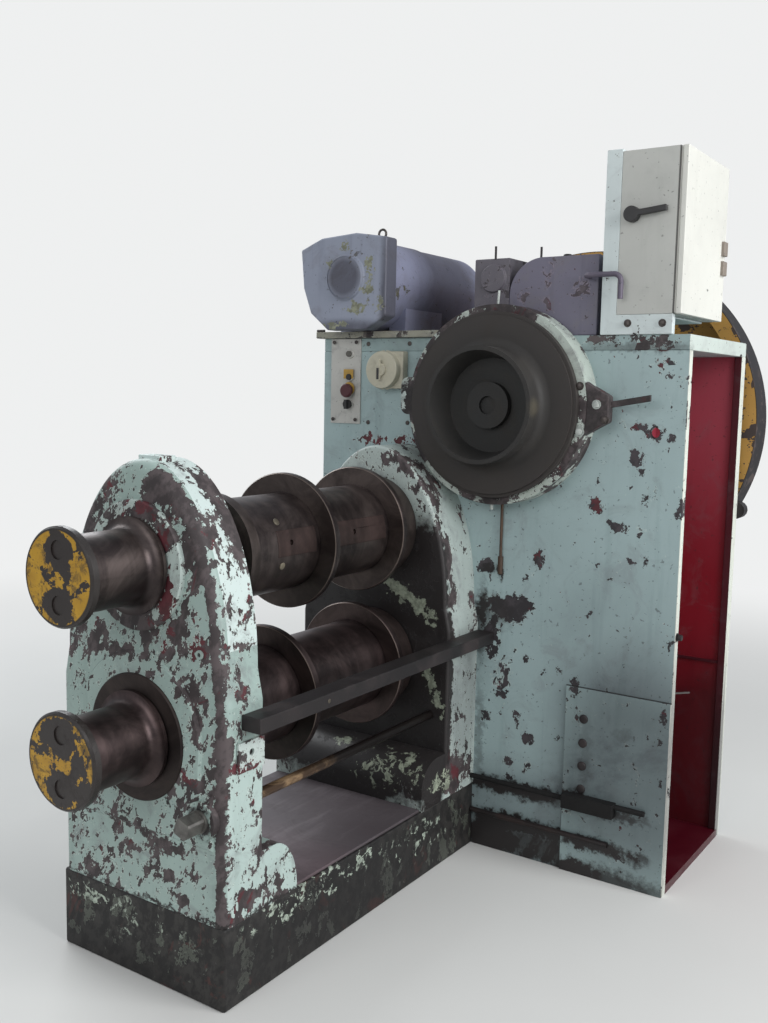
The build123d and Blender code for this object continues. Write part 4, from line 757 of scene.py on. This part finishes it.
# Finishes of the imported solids, by node, and of the fasteners
finishes = {
    "outboard_stand": stand_finish(),
    "bed_casting": bed_finish(),
    "inboard_housing": housing_finish(),
    "frame_front_plate": front_plate_finish(),
    "frame_back_plate": frame_finish("back_plate_paint", amount=-.4, linings=[
        (RED, (.7, FRAME_BACK - .045, 0), (BACK_EDGE, FRAME_BACK - .0275, 1.8)),
        # Painted light: a paler red fading in high up on the plate's inner face
        ((158, 66, 80), (.7, FRAME_BACK - .045, .5), (BACK_EDGE, FRAME_BACK - .0275, 1.8), .9, 1.6),
        # Painted shade on the back plate's return flange
        (SHADED_RED, (.7, FRAME_BACK - .045, 0), (BACK_EDGE, FRAME_BACK - .0295, 1.8)),
        # Painted highlight on the plate's right edge
        (EDGE_HIGHLIGHT, (BACK_EDGE, FRAME_BACK - .045, 0), (FRAME_RIGHT + .01, FRAME_BACK + .01, 1.8))],
        # Painted shade, with grime, low on the plate's inner face
        dim=on_face(FRAME_BACK - .028, [(.9, .1, .6, .75, 1.6)], .026)),
    "frame_left_wall": frame_finish("left_wall_paint", ("frame_left_wall", .3, .01)),
    "frame_top_plate": frame_finish("top_plate_paint", spots=on_face(FRAME_FACE, [
        (.84, 1.765, .22, .045, .5), (.72, 1.775, .1, .03, .5), (.95, 1.77, .06, .03, .4)]),
        # Painted highlight on the top plate's right end
        linings=[((188, 198, 192), (FRAME_RIGHT - .0032, .6, 1.7), (FRAME_RIGHT + .01, 1.3, 1.8))],
        oil=on_face(FRAME_FACE, [(.85, 1.745, .28, .03, .7)])),
    "lower_cover_plate": frame_finish("cover_plate_paint", ("lower_cover_plate", .1, .01), spots=chips(FRAME_FACE, [
        (680, 625, 17, 13), (985, 590, 9, 20), (975, 505, 9, 14), (985, 380, 9, 16)]), linings=[
            # Painted highlight on the plate's right edge
            (EDGE_HIGHLIGHT, (FRAME_RIGHT - .0014, .6, 0), (FRAME_RIGHT + .01, .7, .7))],
        oil=on_face(FRAME_FACE, [
            (.7, .255, .14, .04, 2), (.83, .235, .18, .026, 1.6), (.78, .115, .18, .034, 2),
            (.92, .105, .06, .035, 1.4), (.8, .01, .35, .06, 1.6), (.86, .508, .05, .03, .5),
            (.73, .42, .03, .2, .4)]),
        # Painted shade, with grime, over the cover plate's lower right
        dim=on_face(FRAME_FACE, [(.9, .38, .42, .5, 1.3)], .1), **PLATE_IRON),
    "frame_recess_wall": recess_finish(),
    "stand_tab": flaked_paint("tab_paint", PALE_MINT, scale=22, amount=.2, edge=("stand_tab", .3, .01),
        spots=[((.3155, -.588, .665), (.02, .024, .03), .6), ((.3155, -.55, .633), (.02, .08, .013), .7)],
        maroon=[((.3155, -.56, .64), (.02, .08, .03), .5)]),
    "clutch_housing": ring_finish(),
    "clutch_bracket": flaked_paint("bracket_paint", PALE_MINT, scale=16, amount=.8, film=.5, primer_share=.3, spots=[
        ((.72, .56, 1.55), (.06, .08, .1), .5), ((.85, .58, 1.59), (.12, .08, .05), .6)],
        oil=[((.73, .56, 1.55), (.08, .08, .1), .9), ((.86, .58, 1.59), (.1, .08, .05), 1)]),
    "upper_bearing_cover": flaked_paint(
        "upper_cover_paint", (176, 190, 185), scale=13, amount=.42, primer_share=.3, film=.45, grain=(28, 1.6),
        shreds=2,
        spots=on_face(UPPER_COVER_FACE, [
            (.05, 1.28, .05, .035, .9), (.1, 1.22, .03, .03, .8), (.122, 1.1, .02, .05, .9),
            (.11, 1.04, .03, .035, .8), (-.09, 1.24, .06, .05, .5), (-.02, .99, .12, .05, .6)]),
        maroon=on_face(UPPER_COVER_FACE, [
            (.05, 1.28, .06, .04, .8), (.1, 1.22, .04, .04, .8), (.122, 1.1, .03, .05, .9),
            (.11, 1.04, .035, .035, .8)])),
    "cabinet_post": frame_finish("post_paint", ("cabinet_post", .1, .01), paint=(206, 216, 216)),
    "upper_roll_shaft": turned_steel("shaft_steel", (58, 51, 51), (96, 86, 83), highlight_rims=FLANGE_HIGHLIGHTS),
    "lower_roll_shaft": turned_steel("lower_shaft_steel", (58, 49, 49), (90, 76, 75), highlight_rims=FLANGE_HIGHLIGHTS),
    "front_seat_key": turned_steel("key_steel", (54, 43, 41), (77, 62, 59), rough=.45, metallic=.7),
    "lower_bearing_cover": turned_steel("cover_steel", (52, 46, 45), (76, 67, 64), rough=.42),
    "adjusting_shaft": adjuster_finish(),
    "bar_iron": grimy_iron("bar_iron", (32, 28, 29), (56, 48, 48)),
    "clutch_cover": clutch_finish(),
    "lower_pipe": grimy_iron("pipe_iron", (24, 19, 19), (46, 34, 32)),
    "hook_pipe": grimy_iron("hook_slate", (88, 82, 96), (112, 104, 118)),
    "upper_pipe": grimy_iron("valve_iron", (9, 8, 8), (18, 16, 17), rough=.8),
    "upper_end_disc": disc_finish(),
    "flywheel": flywheel_finish(),
    "bed_top_plate": sheet_finish(),
    "motor_shield": motor_finish("motor_paint", (140, 146, 162), False),
    "motor_body": motor_finish("motor_body_paint", (138, 141, 166), True),
    "motor_base": flaked_paint("motor_base_paint", (148, 146, 132), scale=12, amount=.2, film=.6,
        primer_share=0, lip_share=.3, worn=(104, 98, 92)),
    "belt_guard": flaked_paint("guard_paint", (104, 101, 117), scale=9, amount=.15, bare=(66, 58, 64),
        worn=(86, 78, 84), primer=(84, 56, 66), lip=(136, 124, 136), film=.4),
    "junction_box": flaked_paint("junction_paint", (92, 88, 96), scale=14, amount=.2, bare=(56, 52, 56),
        worn=(76, 70, 74), primer=(78, 52, 60), lip=(124, 118, 126), film=.4),
    "cabinet_body": flaked_paint("cabinet_paint", (186, 187, 182), scale=6, amount=-.25, film=.12, runs=.1,
        edge=("cabinet_body", .1, .01), bump=.4,
        seams=[((.9465, .6, 1.85), (.952, 1.06, 2.35))]),
    # Painted light: the door takes a paler copy of the cabinet's grey, for the strong light on its right-facing side
    "cabinet_door": flaked_paint("lit_door_paint", (212, 212, 205), scale=6, amount=-.25, film=.06, runs=.06,
        edge=("cabinet_door", .1, .01), bump=.4,
        linings=[((216, 216, 200), (.98, .665, 2.13), (.99, .83, 2.325)),
                 ((128, 118, 108), (DOOR_OUT - .01, .8, 1.85), (DOOR_OUT + .01, 1.2, 2.4))]),
    "button_panel": flaked_paint("panel_paint", (182, 181, 176), scale=20, amount=-.1, film=.3, bump=.5),
    "black": moulded("black_plastic", (34, 33, 34)),
    "stop_button": moulded("red_plastic", (72, 30, 36)),
    "amber": moulded("amber_paint", (176, 140, 62)),
    "rotary_switch_body": moulded("cream_plastic", (182, 178, 160)),
    "indicator_lamp": glass_finish(),
    "oil_line": turned_steel("oil_pipe_copper", (64, 54, 48), (96, 76, 62), rough=.5, metallic=.5),
    "plug_paint": moulded("plug_paint", (150, 168, 162)),
    "screw": grimy_iron("screw_brass", (88, 82, 72), (128, 120, 104), metallic=.5, rough=.4),
    "nut": grimy_iron("nut_iron", (66, 60, 58), (104, 98, 94), metallic=.6, rough=.5),
    "pale_nut": grimy_iron("pale_nut_paint", (150, 156, 152), (196, 202, 198), metallic=0, rough=.5),
}

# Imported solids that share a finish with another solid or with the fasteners
SHARED = {
    "flywheel_bearing": "frame_left_wall", "frame_floor_plate": "frame_recess_wall", "tie_bar": "bar_iron",
    "lower_end_disc": "upper_end_disc", "rear_seat_key": "front_seat_key", "eye_bolt": "nut",
    "rotary_knob": "rotary_switch_body", "isolator_handle": "black", "start_button": "black",
    "selector_knob": "black",
}

# Widths by which sharp edges are eased
EASED = {
    .001: "button_panel upper_pipe", .0012: "stand_tab",
    .0015: "lower_cover_plate cabinet_body rotary_knob front_seat_key rear_seat_key",
    .002: "bed_top_plate frame_front_plate frame_back_plate frame_left_wall isolator_handle clutch_bracket",
    .0025: "cabinet_door", .003: "tie_bar frame_top_plate motor_base cabinet_post",
    .004: "junction_box belt_guard rotary_switch_body", .006: "bed_casting", .007: "motor_shield",
}


# Modelling helpers

mesh = bpy.ops.mesh


def pick(*objects):
    """Select some objects alone and make the first one active."""
    bpy.ops.object.select_all(action="DESELECT")
    for obj in objects:
        obj.select_set(True)
    bpy.context.view_layer.objects.active = objects[0]


def reshape(obj, *steps):
    """Run edit mode steps on one object: each a mesh operator and its settings."""
    pick(obj)
    bpy.ops.object.mode_set(mode="EDIT")
    for operator, settings in steps:
        operator(**settings)
    bpy.ops.object.mode_set(mode="OBJECT")


def apply_modifier(obj, kind, **settings):
    """Add a modifier and apply it."""
    pick(obj)
    modifier = obj.modifiers.new(kind, kind)
    for key, value in settings.items():
        setattr(modifier, key, value)
    bpy.ops.object.modifier_apply(modifier=modifier.name)


def smooth(obj, angle):
    """Shade one object smooth below an angle in degrees."""
    pick(obj)
    bpy.ops.object.shade_smooth_by_angle(angle=math.radians(angle))


def linked(name, data):
    """Object for a mesh, curve, lamp or camera, placed in the scene."""
    obj = bpy.data.objects.new(name, data)
    bpy.context.scene.collection.objects.link(obj)
    return obj


def primitive(operator, **settings):
    """New primitive, made with nothing else selected."""
    bpy.ops.object.select_all(action="DESELECT")
    operator(**settings)
    return bpy.context.active_object


def done(obj, name, finish, body="machine"):
    """Settle a finished piece at the origin with its finish, and let it ride on its body."""
    pick(obj)
    bpy.ops.object.transform_apply(location=True, rotation=True, scale=True)
    obj.name = name
    obj.data.name = name
    obj.data.materials.clear()
    obj.data.materials.append(finishes[finish])
    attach(obj, body)


def eased(node, width):
    """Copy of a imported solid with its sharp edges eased."""
    obj = linked(node + "_eased", nodes[node].data.copy())
    reshape(obj, (mesh.select_all, {"action": "SELECT"}), (mesh.remove_doubles, {"threshold": .00002}),
            (mesh.dissolve_limited, {"angle_limit": math.radians(.5)}),
            (mesh.customdata_custom_splitnormals_clear, {}))
    apply_modifier(obj, "BEVEL", width=width, segments=2, limit_method="ANGLE", angle_limit=math.radians(40),
                   use_clamp_overlap=False)
    smooth(obj, 46)
    apply_modifier(obj, "WEIGHTED_NORMAL", mode="FACE_AREA", weight=80, keep_sharp=True)
    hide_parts(node)
    done(obj, node + "_eased", SHARED.get(node, node), BODY_OF[node])


def dress_solids():
    """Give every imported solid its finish, and ease the edges of the plates and boxes."""
    for node, obj in nodes.items():
        obj.data.materials.clear()
        obj.data.materials.append(finishes[SHARED.get(node, node)])
    for width, members in EASED.items():
        for node in members.split():
            eased(node, width)


# Fasteners and small trim

def add_rod(name, points, radius, finish, sides=12):
    """Thin round rod along a line of points."""
    curve = bpy.data.curves.new(name, "CURVE")
    curve.dimensions = "3D"
    curve.bevel_depth = radius
    curve.bevel_resolution = sides // 4 - 1
    curve.use_fill_caps = True
    line = curve.splines.new("POLY")
    line.points.add(len(points) - 1)
    for point, place in zip(line.points, points):
        point.co = (*place, 1)
    pick(linked(name, curve))
    bpy.ops.object.convert(target="MESH")
    rod = bpy.context.view_layer.objects.active
    smooth(rod, 50)
    done(rod, name, finish)


def cylinder(sides, radius, height, foot=0):
    """Upright cylinder on a foot level."""
    return primitive(mesh.primitive_cylinder_add, vertices=sides, radius=radius, depth=height,
                     location=(0, 0, foot + height / 2))


def hex_head(radius, height):
    """Hexagon head on a round washer, standing on the origin along +Z."""
    base = height * .2
    washer = cylinder(24, radius * 1.35, base)
    head = cylinder(6, radius, height, base)
    reshape(head, (mesh.select_all, {"action": "SELECT"}),
            (mesh.bevel, {"offset": radius * .1, "segments": 2, "affect": "EDGES"}))
    pick(head, washer)
    bpy.ops.object.join()
    return head


def round_head(radius, height, bore=None):
    """Low domed head, or a plug with a socket of a given radius, standing on the origin along +Z."""
    head = cylinder(24, radius, height)
    reshape(head, (mesh.select_all, {"action": "DESELECT"}))
    for face in head.data.polygons:
        face.select = face.normal.z > .9
    if bore is None:
        reshape(head, (mesh.bevel, {"offset": height * .6, "segments": 3, "affect": "EDGES"}))
    else:
        reshape(head, (mesh.inset, {"thickness": radius - bore, "depth": 0}),
                (mesh.inset, {"thickness": radius * .05, "depth": -height * .7}))
    return head


def spread(template, name, places, finish, facing=FRONT, body="machine"):
    """Copies of one fastener, each with its own mesh, joined into one piece."""
    turn = Vector((0, 0, 1)).rotation_difference(Vector(facing)).to_matrix().to_4x4()
    copies = []
    for place in places:
        copy = template.data.copy()
        spin = Matrix.Rotation(random.uniform(0, math.tau), 4, "Z")
        copy.transform(Matrix.Translation(Vector(place)) @ turn @ spin @ template.matrix_world)
        copies.append(linked(name, copy))
    bpy.data.objects.remove(template)
    pick(*copies)
    if len(copies) > 1:
        bpy.ops.object.join()
    smooth(copies[0], 40)
    done(copies[0], name, finish, body)


def thin_plate(name, middle, size, ease_width, finish, body="machine"):
    """Small flat plate with eased edges."""
    plate = primitive(mesh.primitive_cube_add, size=1, location=middle)
    plate.scale = size
    bpy.ops.object.transform_apply(location=True, rotation=True, scale=True)
    apply_modifier(plate, "BEVEL", width=ease_width, segments=1)
    done(plate, name, finish, body)


def front_plate_bolts():
    """Four dark heads in a row on the cover plate."""
    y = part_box("lower_cover_plate")[0].y
    places = [(.719, y, z) for z in (.536, .454, .376, .297)]
    spread(round_head(.015, .006), "front_plate_bolts", places, "bar_iron")


def seat_screws():
    """Small pale screws beside the key of the upper shaft."""
    for index, (y, angle) in enumerate(((-.231, 34.6), (-.226, -16.7)), 1):
        facing = Vector((math.cos(math.radians(angle)), 0, math.sin(math.radians(angle))))
        place = facing * SEAT_RADIUS + Vector((0, y, UPPER_Z))
        spread(round_head(.011, .003), f"seat_screw_{index}", [place], "screw", facing, "upper_shaft")


def stand_plug():
    """Socket plug on the right of the stand's front face, with a black disc in its bore as painted shade."""
    place = [(.223, STAND_FACE, .931)]
    spread(round_head(.012, .005, .006), "stand_plug", place, "plug_paint")
    # Painted shade: a black disc deep in the plug's bore
    spread(round_head(.0055, .003), "plug_socket_shade", place, "black")


def clutch_fasteners():
    """Bolts on the ear beside the clutch, and the pin and nipple on its ring."""
    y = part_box("clutch_bracket")[0].y
    spread(hex_head(.011, .01), "ear_bolts", [(.75, y, 1.569), (.698, y, 1.482)], "pale_nut")
    spread(hex_head(.01, .01), "ear_nuts", [(.78, y, 1.522), (.692, y, 1.625)], "nut")
    low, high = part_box("clutch_housing")
    y = low.y + .012
    for name, lean, start, end, radius in (("ring_pin", .003, high.z - .004, high.z + .044, .004),
                                           ("ring_nipple", 0, low.z + .003, low.z - .018, .006)):
        add_rod(name, [(CLUTCH.x, y, start), (CLUTCH.x + lean, y, end)], radius, "pale_nut")


def post_bolts():
    """Two bolts through the foot of the cabinet's post."""
    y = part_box("cabinet_post")[0].y
    spread(hex_head(.009, .008), "post_bolts", [(.807, y, 1.822), (.918, y, 1.821)], "nut")


def panel_trim():
    """Screws of the button panel and of the cover beside it, and the plates behind the buttons."""
    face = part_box("button_panel")[0].y
    screws = [(-.323, face, 1.772), (-.223, face, 1.772), (-.325, face, 1.49), (-.223, face, 1.49)]
    spread(round_head(.007, .003), "panel_screws", screws, "nut")
    others = [(x, FRAME_FACE, z) for x, z in ((-.178, 1.766), (0, 1.766), (-.174, 1.482), (-.002, 1.486))]
    spread(round_head(.008, .004), "cover_screws", others, "nut")
    thin_plate("start_plate", (-.256, face - .0008, 1.657), (.044, .0016, .034), .0006, "amber")
    low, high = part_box("stop_button")
    middle = ((low.x + high.x) / 2, face, (low.z + high.z) / 2 + .007)
    spread(round_head(.025, .0016), "stop_collar", [middle], "amber")


def knob_pointer():
    """Dark pointer line on the knob of the rotary switch."""
    low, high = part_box("rotary_knob")
    middle = ((low.x + high.x) / 2, low.y - .0006, low.z + .024)
    thin_plate("knob_pointer", middle, (.01, .0016, .04), .0005, "black", "switch_knob")


def guard_pins():
    """Short pins on top of the junction box and the belt guard, and a low knob beside them."""
    for node, x, rise in (("junction_box", .327, .044), ("belt_guard", .49, .038)):
        low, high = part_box(node)
        foot = Vector((x, low.y + .012, high.z - .004))
        add_rod(f"{node}_pin", [foot, foot + Vector((0, 0, rise))], .004, "bar_iron")
    spread(round_head(.014, .008), "guard_knob", [(.58, low.y + .02, high.z - .001)], "bar_iron", (0, 0, 1))


def tie_bar_fleck():
    """Pale drip of paint on the side of the tie bar."""
    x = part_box("tie_bar")[1].x
    spread(round_head(.006, .0015), "tie_bar_fleck", [(x, -.3, .757)], "screw", (1, 0, 0))


def recess_bolts():
    """Bolt on the front plate's edge, rod in the recess, lug behind the back plate, and clip of the motor's base."""
    spread(hex_head(.01, .014), "edge_bolt", [(FRAME_RIGHT, FRAME_FACE + .014, .85)], "bar_iron", (1, 0, 0))
    add_rod("recess_rod", [(.98, FRAME_FACE + PLATE_IN - .001, .661), (.98, .9, .612)], .0035, "nut")
    ends = [(1.003, FRAME_BACK + reach, 1.2) for reach in (-.001, .044)]
    add_rod("back_lug", ends, .03, "bar_iron", sides=24)
    low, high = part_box("motor_base")
    add_rod("base_clip", [(low.x + .001, .632, high.z + .004), (-.37, .632, high.z + .004)], .005, "nut")


# Stage

PALE = (.86, .87, .87, 1)


def camera_path(tree):
    """Kinds of ray, and a mask of what the camera sees straight or through glass."""
    path = put("LightPath", {}, tree).outputs
    return path, calc("MAXIMUM", path["Is Camera Ray"], path["Is Transmission Ray"])


def floor_and_backdrop():
    """Pale floor that fades into the pale background a few metres from the machine."""
    floor = primitive(mesh.primitive_plane_add, size=80)
    floor.name = "studio_floor"
    material, place = new_finish("studio_floor_paint")
    colour = blend(cloud(place, .8, 4), (206, 206, 204), (216, 216, 214))
    finished(material, colour, None, **{"Roughness": .85, "Specular IOR Level": .15})
    tree = material.node_tree
    seen = camera_path(tree)[1]
    away = vector_calc("LENGTH", place, output="Value")
    pale = put("Emission", {"Color": PALE, "Strength": 1}, tree)
    share = calc("MULTIPLY", seen, ease(away, 2.2, 6.5))
    mixed = put("MixShader", {0: share, 1: tree.nodes["Principled BSDF"].outputs[0], 2: pale.outputs[0]})
    tree.links.new(mixed.outputs[0], tree.nodes["Material Output"].inputs["Surface"])
    floor.data.materials.append(material)


def studio_world():
    """Even light from the room, and a pale background that metal and glass also mirror."""
    world = bpy.data.worlds.new("studio")
    bpy.context.scene.world = world
    world.use_nodes = True
    tree = world.node_tree
    tree.nodes.clear()
    path, seen = camera_path(tree)
    room, pale, mirrored = (put("Background", {"Color": colour, "Strength": strength}, tree).outputs[0]
                            for colour, strength in (((.92, .96, 1, 1), .42), (PALE, 1), ((.9, .94, 1, 1), .55)))
    first = put("MixShader", {0: path["Is Glossy Ray"], 1: room, 2: mirrored})
    last = put("MixShader", {0: seen, 1: first.outputs[0], 2: pale})
    put("OutputWorld", {"Surface": last.outputs[0]})


def softbox(name, place, target, size, power, colour=(1, 1, 1)):
    """Large soft lamp aimed at a point."""
    light = bpy.data.lights.new(name, "AREA")
    light.shape = "RECTANGLE"
    light.size, light.size_y = size
    light.energy = power
    light.color = colour
    obj = linked(name, light)
    obj.location = place
    obj.rotation_mode = "QUATERNION"
    obj.rotation_quaternion = (Vector(target) - Vector(place)).to_track_quat("-Z", "Y")


def studio_lights():
    """Window light from the right and from behind, and a weak fill in front."""
    softbox("window_right", (5, 0, 3.2), (.2, -.1, .9), (3.5, 3), 250)
    softbox("window_left", (-4.2, 1.5, 4.2), (0, 0, 1), (3.5, 3), 170, (.95, .98, 1))
    softbox("front_fill", (.5, -5.5, 3.2), (.2, 0, .9), (4, 2.5), 90)


# Camera recovered from the photograph: turn, tilt and lean in radians, place, focal length and height in pixels
YAW, PITCH, ROLL = .5913, .1147, -.02
CAMERA_PLACE = (2.03742, -2.53233, 1.59938)
FOCAL_PIXELS = 1051.1714
PHOTO_HEIGHT = 1023
SENSOR = 36


def photo_camera():
    """Camera at the photograph's place and angle."""
    forward = Vector((-math.sin(YAW) * math.cos(PITCH), math.cos(YAW) * math.cos(PITCH), -math.sin(PITCH)))
    right = Vector((math.cos(YAW), math.sin(YAW), 0))
    down = forward.cross(right)
    across = right * math.cos(ROLL) + down * math.sin(ROLL)
    below = down * math.cos(ROLL) - right * math.sin(ROLL)
    data = bpy.data.cameras.new("photo_camera")
    data.sensor_width = SENSOR
    data.lens = FOCAL_PIXELS * SENSOR / PHOTO_HEIGHT
    data.clip_start, data.clip_end = .05, 100
    camera = linked("photo_camera", data)
    turn = Matrix((across, -below, -forward)).transposed().to_4x4()
    camera.matrix_world = Matrix.Translation(CAMERA_PLACE) @ turn
    bpy.context.scene.camera = camera


for step in (dress_solids, front_plate_bolts, seat_screws, stand_plug, clutch_fasteners, post_bolts, panel_trim,
             knob_pointer, guard_pins, tie_bar_fleck, recess_bolts, floor_and_backdrop, studio_world, studio_lights,
             photo_camera):
    step()

scene = bpy.context.scene
scene.view_settings.view_transform = "Standard"
